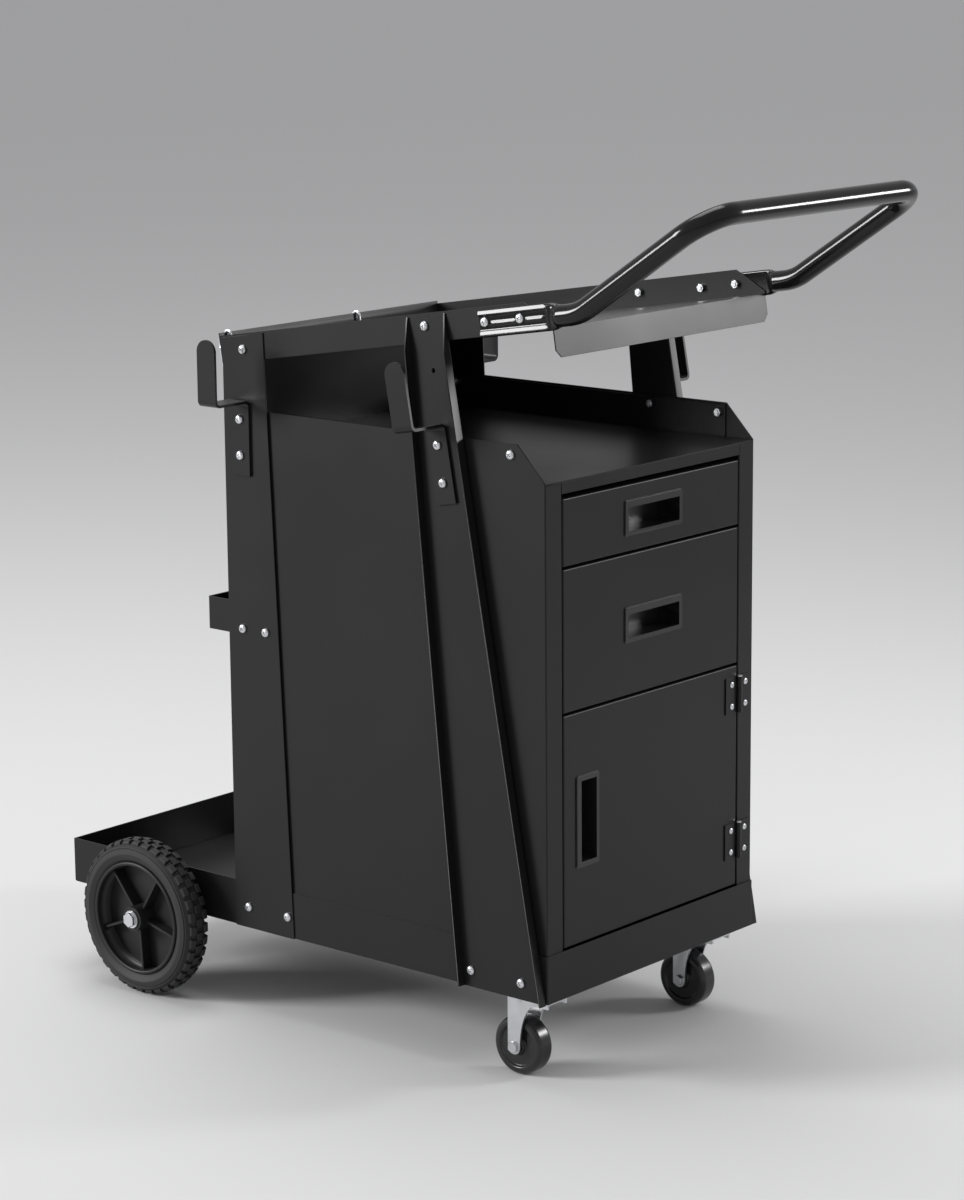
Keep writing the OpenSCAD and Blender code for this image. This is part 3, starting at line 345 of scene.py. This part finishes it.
def close_ring(bm, ring, other):
    """Faces between two rings of as many points."""
    for i in range(len(ring)):
        k = (i + 1) % len(ring)
        bm.faces.new((ring[i], ring[k], other[k], other[i]))


def lathe(bm, profile, place, turns):
    """Revolve (radius, across) points round an axis along X and close the ring."""
    rings = []
    for i in range(turns):
        a = 2 * math.pi * i / turns
        points = [Vector((x, r * math.cos(a), r * math.sin(a))) for r, x in profile]
        rings.append([bm.verts.new(place @ point) for point in points])
    for ring, other in zip(rings, rings[1:] + rings[:1]):
        close_ring(bm, ring, other)


def rounded_profile(points, radii, steps=5):
    """A closed outline with its corners rounded."""
    out = []
    for i, (point, r) in enumerate(zip(points, radii)):
        here = Vector(point)
        back = (Vector(points[i - 1]) - here).normalized()
        ahead = (Vector(points[(i + 1) % len(points)]) - here).normalized()
        half = back.angle(ahead) / 2
        reach = r / math.tan(half)
        start, end = here + back * reach, here + ahead * reach
        middle = here + (back + ahead).normalized() * (r / math.sin(half))
        for k in range(steps + 1):
            arm = (start - middle).lerp(end - middle, k / steps)
            out.append(tuple(middle + arm.normalized() * r))
    return out


# What repeats: one pattern set at many places by a geometry tree
PATTERN_SOCKETS = (("Places", "NodeSocketGeometry"), ("Pattern", "NodeSocketObject"),
                   ("Finish", "NodeSocketMaterial"))
RING_SOCKETS = (("Count", "NodeSocketInt"), ("First angle", "NodeSocketFloat"),
                ("Centre", "NodeSocketVector"))


def new_tree(name, sockets):
    """A geometry tree with named inputs, and a wire from each of them."""
    tree = bpy.data.node_groups.new(name, "GeometryNodeTree")
    for socket, kind in sockets:
        tree.interface.new_socket(socket, in_out="INPUT", socket_type=kind)
    tree.interface.new_socket("Piece", in_out="OUTPUT", socket_type="NodeSocketGeometry")
    t = Wiring(tree)
    given = t.node("NodeGroupInput").socket.node.outputs
    return t, {socket: Wire(t, given[socket]) for socket, kind in sockets}


def set_pattern(t, wires, places, turn):
    """Set the pattern at each place, make the copies one mesh and give it its finish."""
    pattern = t.node("GeometryNodeObjectInfo", None, {"Object": wires["Pattern"]}, out="Geometry")
    copies = t.node("GeometryNodeInstanceOnPoints", None,
                    {"Points": places, "Instance": pattern, "Rotation": turn})
    solid = t.node("GeometryNodeRealizeInstances", None, {"Geometry": copies})
    painted = t.node("GeometryNodeSetMaterial", None, {"Geometry": solid, "Material": wires["Finish"]})
    t.node("NodeGroupOutput", None, {"Piece": painted})
    return t.tree


def placing_tree():
    """Copies of a pattern at a mesh's points, turned as their attribute says."""
    t, wires = new_tree("set_at_places", PATTERN_SOCKETS)
    turn = t.node("GeometryNodeInputNamedAttribute", {"data_type": "QUATERNION"}, {"Name": "turn"})
    return set_pattern(t, wires, wires["Places"], turn)


def ring_tree():
    """Copies of a pattern round a wheel's axle, with their places worked out here."""
    t, wires = new_tree("set_round_a_wheel", PATTERN_SOCKETS + RING_SOCKETS)
    points = t.node("GeometryNodeMeshLine", {"mode": "OFFSET"},
                    {"Count": wires["Count"], "Start Location": wires["Centre"], "Offset": (0, 0, 0)})
    index = t.node("GeometryNodeInputIndex")
    angle = wires["First angle"] + index * (2 * math.pi) / wires["Count"]
    turn = t.node("ShaderNodeCombineXYZ", None, {"X": angle})
    return set_pattern(t, wires, points, turn)


TREES = {"placing": placing_tree(), "ring": ring_tree()}


def grown(piece, tree, values):
    """Run a geometry tree on a piece, with its inputs set by name, and keep the result as a mesh."""
    modifier = piece.modifiers.new("grown", "NODES")
    modifier.node_group = TREES[tree]
    for item in TREES[tree].interface.items_tree:
        if item.item_type == "SOCKET" and item.in_out == "INPUT" and item.name in values:
            modifier[item.identifier] = values[item.name]
    return baked(piece)


def set_at(name, pattern, places, finish):
    """Copies of a pattern at places, each a matrix in metres."""
    mesh = bpy.data.meshes.new(name)
    mesh.from_pydata([tuple(place.to_translation()) for place in places], [], [])
    turns = mesh.attributes.new("turn", "QUATERNION", "POINT")
    for item, place in zip(turns.data, places):
        item.value = tuple(place.to_quaternion())
    return grown(new_piece(name, mesh), "placing", {"Pattern": pattern, "Finish": MATERIALS[finish]})


def joined(name, pieces):
    """One mesh from several, which go away."""
    bm = bmesh.new()
    for piece in pieces:
        bm.from_mesh(piece.data)
        bpy.data.objects.remove(piece)
    return piece_of(name, bm, outward=False)


def islands(node):
    """The separate solids of a node, each as its list of points in metres."""
    bm = shape_of(node)
    seen, found = set(), []
    for first in bm.verts:
        if first in seen:
            continue
        group, stack = [], [first]
        seen.add(first)
        while stack:
            v = stack.pop()
            group.append(v.co.copy())
            for edge in v.link_edges:
                other = edge.other_vert(v)
                if other not in seen:
                    seen.add(other)
                    stack.append(other)
        found.append(group)
    bm.free()
    return found


# Screws
def cut_away(piece, tool):
    """Take the tool's shape out of the piece."""
    modifier = piece.modifiers.new("cut", "BOOLEAN")
    modifier.operation = "DIFFERENCE"
    modifier.solver = "EXACT"
    modifier.object = tool
    baked(piece)
    bpy.data.objects.remove(tool)
    return piece


def cross_tool(width, length, depth, top):
    """A cross that reaches a depth below the top and narrows towards its foot."""
    w, r = width / 2, length / 2
    arm = [(w, r), (w, w), (r, w)]
    outline = arm + [(x, -y) for x, y in reversed(arm)]
    outline += [(-x, -y) for x, y in arm] + [(-x, y) for x, y in reversed(arm)]
    bm = bmesh.new()
    low = [bm.verts.new((x * 0.55 * MM, y * 0.55 * MM, (top - depth) * MM)) for x, y in outline]
    high = [bm.verts.new((x * 1.2 * MM, y * 1.2 * MM, (top + 1) * MM)) for x, y in outline]
    bm.faces.new(low)
    bm.faces.new(high)
    close_ring(bm, low, high)
    return piece_of("cross", bm)


def turned(name, profile, turns=40):
    """A piece turned round Z from (radius, height) points that start and end on the axis."""
    bm = bmesh.new()
    rings = []
    for r, z in profile:
        if r == 0:
            rings.append([bm.verts.new((0, 0, z * MM))])
        else:
            rings.append([bm.verts.new((r * math.cos(a) * MM, r * math.sin(a) * MM, z * MM))
                          for a in (2 * math.pi * i / turns for i in range(turns))])
    for low, high in zip(rings, rings[1:]):
        for i in range(turns):
            k = (i + 1) % turns
            corners = [low[i % len(low)], low[k % len(low)], high[k % len(high)], high[i % len(high)]]
            bm.faces.new(list(dict.fromkeys(corners)))
    return piece_of(name, bm)


def screw_head(radius, height, steps=7):
    """A pan head with a low brim, a full dome and a cross."""
    brim = height * 0.3
    dome = [(0, -0.2), (radius - 0.3, -0.2), (radius, 0.1)]
    for i in range(steps):
        a = math.pi / 2 * i / steps
        dome.append((radius * math.cos(a) ** 0.7, brim + height * 0.7 * math.sin(a)))
    dome.append((0, height))
    head = turned("screw_head", dome)
    return cut_away(head, cross_tool(radius * 0.24, radius * 1.15, height * 0.5, height))


def hex_nut(radius, height, bolt):
    """A nut with broken corners, and the end of its bolt."""
    bm = bmesh.new()
    bmesh.ops.create_cone(bm, cap_ends=True, segments=6, radius1=radius * MM, radius2=radius * MM,
                          depth=height * MM, matrix=Matrix.Translation((0, 0, height / 2 * MM)))
    round_edges(bm, list(bm.edges), 0.06 * radius, 2)
    end = height + 1
    stud = turned("stud", [(0, 0), (bolt, 0), (bolt, height + 0.7), (bolt - 0.4, end), (0, end)], 24)
    bm.from_mesh(stud.data)
    bpy.data.objects.remove(stud)
    return piece_of("nut", bm)


def pose_of(axis, spot, spin):
    """A place at a spot with its Z along the axis, turned round it."""
    return Matrix.Translation(spot) @ axis.to_track_quat("Z", "Y").to_matrix().to_4x4() \
        @ Matrix.Rotation(spin, 4, "Z")


def screw_ends(node):
    """For each screw of a node: its axis towards the head, the head's seat, the tip, the head's radius."""
    ends = []
    for points in islands(node):
        low = Vector(map(min, *points))
        high = Vector(map(max, *points))
        middle = (low + high) / 2
        spans = high - low
        i = min(range(3), key=lambda n: abs(spans[(n + 1) % 3] - spans[(n + 2) % 3]))
        j, k = (i + 1) % 3, (i + 2) % 3
        reach = [(p[i], math.hypot(p[j] - middle[j], p[k] - middle[k])) for p in points]
        widest = max(r for _, r in reach)
        brim = [v for v, r in reach if r > widest - 0.05 * MM]
        sign = 1 if sum(brim) / len(brim) > middle[i] else -1
        axis = Vector((0, 0, 0))
        axis[i] = sign
        seat, tip = middle.copy(), middle.copy()
        seat[i] = min(brim) if sign > 0 else max(brim)
        tip[i] = low[i] if sign > 0 else high[i]
        ends.append((axis, seat, tip, widest))
    return ends


def screws(node, large_head, small_head, nut):
    """Heads and nuts at the places of a node's own screws."""
    heads, small, nuts = [], [], []
    for count, (axis, seat, tip, widest) in enumerate(screw_ends(node)):
        spin = CROSS_TURN * count
        if widest > LARGE_HEAD_R * MM:
            heads.append(pose_of(axis, seat, spin))
            nuts.append(pose_of(-axis, tip + axis * NUT_FROM_TIP * MM, spin))
        else:
            small.append(pose_of(axis, seat, spin))
    made = []
    for name, pattern, places in (("_heads", large_head, heads), ("_nuts", nut, nuts),
                                  ("_small", small_head, small)):
        if places:
            made.append(set_at(node + name, pattern, places, "zinc"))
    settle(joined(node + "_set", made), "zinc", node, angle=30)


# Handle: sections swept along the tube's centre line
def eased(share):
    """A share from 0 to 1 that starts and ends gently."""
    return share * share * (3 - 2 * share)


def between(value, low, high, ramp):
    """Rises from 0 at the low end to 1 within the ramp, and falls again before the high end."""
    return max(0, min(1, (value - low) / ramp, (high - value) / ramp))


def broken_line(points, value):
    """Height of a line through points, given from the largest value down."""
    for (a, start), (b, end) in zip(points, points[1:]):
        if value >= b:
            return start + (end - start) * (a - min(value, a)) / (a - b)
    return points[-1][1]


def flat_section(s):
    """Outline of a pressed end at a distance behind its front, as (out, up) from its inner face.
    Its lips lean up towards the light, and a bead runs between the screws."""
    half = FLAT_H / 2
    press = min(1, max(0, (s - PRESS_START) / PRESS_RUN)) ** 0.5
    bead = max(between(s, start, end, BEAD_RAMP) for start, end in BEADS)
    lips = [(half, 1.4), (half - 1.6, 0.8), (half - 3.4, 0.3), (half - 4.8, 0.1), (half - 6, FLAT_RIM),
            (-half + 7.4, FLAT_RIM), (-half + 6.8, 1.5), (-half + 5.4, 1), (-half + 3.2, 0.4),
            (-half + 1.6, 0.2), (-half, 0.2)]
    ridge = [(2.6, 0), (1, 0.7), (-0.6, 1.1), (-2.4, 0)]
    outer, steps = [], 34
    for i in range(steps + 1):
        z = half - FLAT_ROUND - (FLAT_H - 2 * FLAT_ROUND) * i / steps
        outer.append((FLAT_T + FLAT_RIM - press * broken_line(lips, z) + bead * broken_line(ridge, z), z))
    inner = [(0, -z) for _, z in outer]
    top = [(0.4, half - 0.5), (1.5, half), (FLAT_T, half), (FLAT_T + FLAT_RIM - 1.1, half - 0.4)]
    low = [(out, -z) for out, z in reversed(top)]
    return top + outer + low + inner


def round_section(count):
    """The tube's circle, with its points spread like those of a pressed end."""
    angles = (TUBE_TURN + 2 * math.pi * i / count for i in range(count))
    return [(TUBE_R * math.sin(a), TUBE_R * math.cos(a)) for a in angles]


def rising(slope):
    """The way to the front and up, at a slope."""
    return Vector((0, -math.cos(slope), math.sin(slope)))


def centre_line():
    """Stations from the rear of the left pressed end to the middle of the bar. Each has its spot, the
    way ahead, the way out, how far behind the pressed end's front it is and how round its section is."""
    stations = []
    forward = rising(TRAY_SLOPE)
    out = Vector((-1, 0, 0))
    front = Vector((-TUBE_X, *FLAT_FRONT))
    for s in FLAT_STATIONS:
        stations.append((front - forward * s, forward, out, s, 0))
    steps = 12
    for i in range(1, steps + 1):
        stations.append((front + forward * (FLAT_TAPER * i / steps), forward, out, 0, eased(i / steps)))
    middle = front + forward * KNEE_RUN + Vector((0, math.sin(TRAY_SLOPE), math.cos(TRAY_SLOPE))) * KNEE_R
    for i in range(steps + 1):
        a = TRAY_SLOPE + (HANDLE_SLOPE - TRAY_SLOPE) * i / steps
        spot = middle - Vector((0, math.sin(a), math.cos(a))) * KNEE_R
        stations.append((spot, rising(a), out, 0, 1))
    ahead = rising(HANDLE_SLOPE)
    centre = Vector((-TUBE_X, *BAR)) - ahead * BEND_R + Vector((BEND_R, 0, 0))
    steps = 16
    for i in range(steps + 1):
        a = math.pi / 2 * i / steps
        spot = centre - Vector((BEND_R * math.cos(a), 0, 0)) + ahead * (BEND_R * math.sin(a))
        going = ahead * math.cos(a) + Vector((math.sin(a), 0, 0))
        stations.append((spot, going, ahead * math.sin(a) - Vector((math.cos(a), 0, 0)), 0, 1))
    stations.append((Vector((0, *BAR)), Vector((1, 0, 0)), ahead, 0, 1))
    return stations


def handle():
    """The left half, from its pressed end to the middle of the bar, and its mirror image."""
    bm = bmesh.new()
    rings = []
    for spot, ahead, out, behind, roundness in centre_line():
        up = out.cross(ahead).normalized()
        if up.z < 0:
            up = -up
        pressed = [(a - FLAT_T / 2, b) for a, b in flat_section(behind)]
        circle = round_section(len(pressed))
        ring = []
        for (a, b), (c, d) in zip(pressed, circle):
            place = spot + out * (a + (c - a) * roundness) + up * (b + (d - b) * roundness)
            ring.append(bm.verts.new(at(*place)))
        rings.append(ring)
    for ring, other in zip(rings, rings[1:]):
        close_ring(bm, ring, other)
    bm.faces.new(rings[0])
    mirrored = bmesh.ops.duplicate(bm, geom=list(bm.verts) + list(bm.edges) + list(bm.faces))["geom"]
    for v in mirrored:
        if isinstance(v, bmesh.types.BMVert):
            v.co.x = -v.co.x
    bmesh.ops.remove_doubles(bm, verts=bm.verts, dist=0.01 * MM)
    settle(piece_of("handle", bm), "tube_paint", "handle_tube", angle=45)


# Wheels
def side_name(side):
    return "left" if side < 0 else "right"


def tread_block(side, across, height, half_width, shoulder):
    """A block of the tread at the top of a wheel, from one place across the tyre to another. It has a
    wide foot and a narrower top, which drops by a shoulder at either end."""
    start, end = across
    low, top = height
    wide, narrow = half_width
    first, last = (top - drop for drop in shoulder)
    outline = [(start, low, wide), (start, first - 1.2, wide), (start + 0.8, first, narrow),
               (end - 0.8, last, narrow), (end, last - 1.2, wide), (end, low, wide)]
    block = bmesh.new()
    near, far = [[block.verts.new(Vector((side * x, y * w, z)) * MM) for x, z, w in outline] for y in (-1, 1)]
    block.faces.new(near)
    block.faces.new(far[::-1])
    close_ring(block, near, far)
    bmesh.ops.recalc_face_normals(block, faces=block.faces)
    bmesh.ops.bevel(block, geom=list(block.edges), offset=0.5 * MM, segments=2, profile=0.5, affect="EDGES")
    return piece_of("block", block)


def carcass(side):
    """The tyre without its tread: a plump ring with a groove round its sidewall."""
    low, high = TYRE_X
    r = WHEEL_R
    points = [(BEAD_R, low), (r - 11, low), (r - 3, low + 7), (r - 2.8, high - 12), (r - 5.6, high - 5.5),
              (r - 8.6, high - 1.2), (r - 9.4, high - 2.6), (r - 10.2, high - 1), (r - 16, high),
              (BEAD_R + 2.5, high - 2.2), (BEAD_R, high - 4)]
    profile = rounded_profile(points, [1, 3, 4, 3, 3, 0.8, 0.3, 0.4, 4, 1.5, 0.8])
    place = Matrix.Translation(at(0, AXLE_Y, AXLE_Z)) @ Matrix.Diagonal((side * MM, MM, MM, 1))
    bm = bmesh.new()
    lathe(bm, profile, place, turns=120)
    return piece_of("carcass", bm)


def tyre(side):
    """The carcass with three rows of chunky blocks round its crown, each row half a block on."""
    low, high = TYRE_X
    r = WHEEL_R
    middle = (low + high) / 2
    rows = (((low + 2, low + 11), (r - 10, r - 0.1), (5.2, 4.6), (2.2, 0)),
            ((low + 12.4, middle + 3.6), (r - 8, r - 0.05), (4.9, 4.4), (0, 0)),
            ((middle + 5, high - 5.5), (r - 9, r - 0.1), (5.2, 4.6), (0, 2.0)))
    pieces = [carcass(side)]
    for row, sizes in enumerate(rows):
        pattern = tread_block(side, *sizes)
        tread = new_piece("tread", bpy.data.meshes.new("tread"))
        grown(tread, "ring", {"Pattern": pattern, "Finish": MATERIALS["rubber"], "Count": TREAD_COUNT,
                              "First angle": (row % 2) * math.pi / TREAD_COUNT,
                              "Centre": tuple(at(0, AXLE_Y, AXLE_Z))})
        bpy.data.objects.remove(pattern)
        pieces.append(tread)
    name = side_name(side) + "_wheel_tyre"
    settle(joined(name + "_tread", pieces), "rubber", name, angle=35)


def caster_roller(side):
    """A roller with a raised hub and a round-shouldered tread on either side of a thin web."""
    r, w, bore = ROLLER_R, CASTER_W / 2, ROLLER_BORE_R
    points = [(bore, -w), (9, -w), (10.5, 3.2 - w), (r - 10, 3.2 - w), (r - 8, 0.6 - w), (r, 0.6 - w),
              (r, w - 0.6), (r - 8, w - 0.6), (r - 10, w - 3.2), (10.5, w - 3.2), (9, w), (bore, w)]
    profile = rounded_profile(points, [0.3, 1, 1, 1, 2, 5, 5, 2, 1, 1, 1, 0.3])
    place = Matrix.Translation(at(side * CASTER_X, CASTER_Y, CASTER_Z)) @ Matrix.Scale(MM, 4)
    bm = bmesh.new()
    lathe(bm, profile, place, turns=96)
    name = side_name(side) + "_caster_wheel"
    settle(piece_of(name + "_tread", bm), "roller", name)


# Chain
def link_pattern():
    """A link along Z: two straights and two half rings of round wire."""
    middle = LINK_W / 2 - WIRE_R
    half = LINK_PITCH / 2 - middle + WIRE_R
    steps = 12
    bm = bmesh.new()
    rings = []
    for end, height in ((0, half), (1, -half)):
        for i in range(steps + 1):
            a = math.pi * end + math.pi * i / steps
            spot = Vector((0, middle * math.cos(a), height + middle * math.sin(a)))
            out = Vector((0, math.cos(a), math.sin(a)))
            ring = []
            for k in range(WIRE_SIDES):
                b = 2 * math.pi * k / WIRE_SIDES
                aside = Vector((WIRE_R * math.sin(b), 0, 0))
                ring.append(bm.verts.new((spot + out * (WIRE_R * math.cos(b)) + aside) * MM))
            rings.append(ring)
    for ring, other in zip(rings, rings[1:] + rings[:1]):
        close_ring(bm, ring, other)
    return piece_of("link", bm)


def chain():
    """A link at each place and turn of the node's own links."""
    places = []
    for points in islands("tank_chain"):
        middle = sum(points, Vector()) / len(points)
        far = max(points, key=lambda p: (p - middle).length)
        along = (far - middle).normalized()
        reach = (far - middle).length
        ends = [p for p in points if (p - middle).dot(along) > 0.9 * reach]
        opposite = [p for p in points if (p - middle).dot(along) < -0.9 * reach]
        along = (sum(ends, Vector()) / len(ends) - sum(opposite, Vector()) / len(opposite)).normalized()
        side = max(points, key=lambda p: ((p - middle) - along * (p - middle).dot(along)).length)
        across = ((side - middle) - along * (side - middle).dot(along)).normalized()
        turn = Matrix((across.cross(along), across, along)).transposed()
        places.append(Matrix.Translation(middle) @ turn.to_4x4())
    pattern = link_pattern()
    made = set_at("chain_links", pattern, places, "zinc")
    bpy.data.objects.remove(pattern)
    settle(made, "zinc", "tank_chain", angle=60)


# The cart
def sheet_metal():
    for name in ("base_pan", "pan_rear_wall", "left_side_panel", "right_side_panel", "back_panel",
                 "cabinet_top_shelf", "cabinet_divider", "left_rear_upright", "right_rear_upright",
                 "left_front_leg", "right_front_leg", "top_tray", "tank_strap", "drawer_1_front",
                 "drawer_2_front", "door_panel", "drawer_1_bin", "drawer_2_bin"):
        soften(name, "powder_coat", fold=FOLD_R)
    for name in ("left_front_hook", "left_rear_hook", "right_front_hook", "right_rear_hook"):
        soften(name, "powder_coat", edge=0.7)
    for name in ("hinge_frame_leaves", "hinge_door_leaves"):
        soften(name, "powder_coat", edge=0.2)
    paint(frame["nodes"]["rail_brackets"], "powder_coat")


def zinc_hardware():
    for name in ("left_caster_fork", "right_caster_fork"):
        soften(name, "zinc", fold=1.5)
    for name in ("left_caster_plate", "right_caster_plate", "axle_saddles", "axle_nuts", "left_caster_bolt",
                 "right_caster_bolt", "rear_axle"):
        soften(name, "zinc", edge=0.4)
    for name in ("chain_hooks", "axle_spacers", "left_caster_kingpin", "right_caster_kingpin",
                 "drawer_1_inner_rails", "drawer_1_outer_rails", "drawer_2_inner_rails",
                 "drawer_2_outer_rails", "hinge_pins", "catch_strike"):
        paint(frame["nodes"][name], "zinc")


def plastic():
    for name in ("left_wheel_rim", "right_wheel_rim"):
        soften(name, "rim_plastic", edge=0.8)
    for name in ("left_wheel_bushes", "right_wheel_bushes"):
        paint(frame["nodes"][name], "rim_plastic")
    for name in ("drawer_1_pull", "drawer_2_pull", "door_pull"):
        soften(name, "pull_plastic", edge=0.6)
    paint(frame["nodes"]["door_catch"], "pull_plastic")


def all_screws():
    patterns = screw_head(5, 3.5), screw_head(3.4, 1.6), hex_nut(4.5, 4, 2.5)
    screws("frame_screws", *patterns)
    screws("door_screws", *patterns)
    for pattern in patterns:
        bpy.data.objects.remove(pattern)


sheet_metal()
zinc_hardware()
plastic()
all_screws()
handle()
chain()
for side in (-1, 1):
    tyre(side)
    caster_roller(side)


# Studio
def floor():
    bm = bmesh.new()
    bmesh.ops.create_grid(bm, x_segments=1, y_segments=1, size=FLOOR_HALF)
    piece = piece_of("floor", bm, outward=False)
    material = bpy.data.materials.new("pale_floor")
    material.use_nodes = True
    shader = material.node_tree.nodes["Principled BSDF"]
    shader.inputs["Base Color"].default_value = FLOOR_COLOR
    shader.inputs["Roughness"].default_value = 0.85
    shader.inputs["Specular IOR Level"].default_value = 0.2
    piece.data.materials.append(material)


def sky():
    world = bpy.data.worlds.new("studio")
    bpy.context.scene.world = world
    world.use_nodes = True
    background = world.node_tree.nodes["Background"]
    background.inputs["Color"].default_value = SKY_COLOR
    background.inputs["Strength"].default_value = 1


def lamp(name, spot, towards, size, power):
    """A panel of light at a spot, in metres, that faces another."""
    light = bpy.data.lights.new(name, "AREA")
    light.shape = "RECTANGLE"
    light.size, light.size_y = size
    light.energy = power
    piece = new_piece(name, light)
    piece.location = spot
    piece.rotation_euler = (Vector(towards) - Vector(spot)).to_track_quat("-Z", "Y").to_euler()


def camera():
    """The photograph's camera, as fitted to points read off it."""
    view = bpy.data.cameras.new("camera")
    view.sensor_width = SENSOR
    view.lens = FOCAL_PX / PHOTO_H * SENSOR
    level = Vector((math.cos(CAMERA_YAW), -math.sin(CAMERA_YAW), 0))
    away = Vector((-math.sin(CAMERA_YAW), -math.cos(CAMERA_YAW), 0))
    back = away * math.cos(CAMERA_PITCH) + Vector((0, 0, math.sin(CAMERA_PITCH)))
    up = back.cross(level)
    right = level * math.cos(CAMERA_ROLL) + up * math.sin(CAMERA_ROLL)
    up = up * math.cos(CAMERA_ROLL) - level * math.sin(CAMERA_ROLL)
    turn = Matrix((right, up, back)).transposed()
    piece = new_piece("camera", view)
    piece.matrix_world = Matrix.Translation(Vector(CAMERA_AT) * MM) @ turn.to_4x4()
    bpy.context.scene.camera = piece


floor()
sky()
# The side light faces above the cart, so that the floor near it isn't lit too much
lamp("side_light", (-4.3, 4.0, 2.7), (0, 0.1, 5.4), (1.8, 2.9), 483)
lamp("top_light", (0.3, 0.6, 3.2), (0, 0, 0.4), (1.8, 1.8), 40)
lamp("lip_light", (1.7, -1.6, 1.12), (0, -0.25, 0.82), (0.5, 0.4), 20)
camera()
bpy.context.scene.view_settings.view_transform = "Standard"
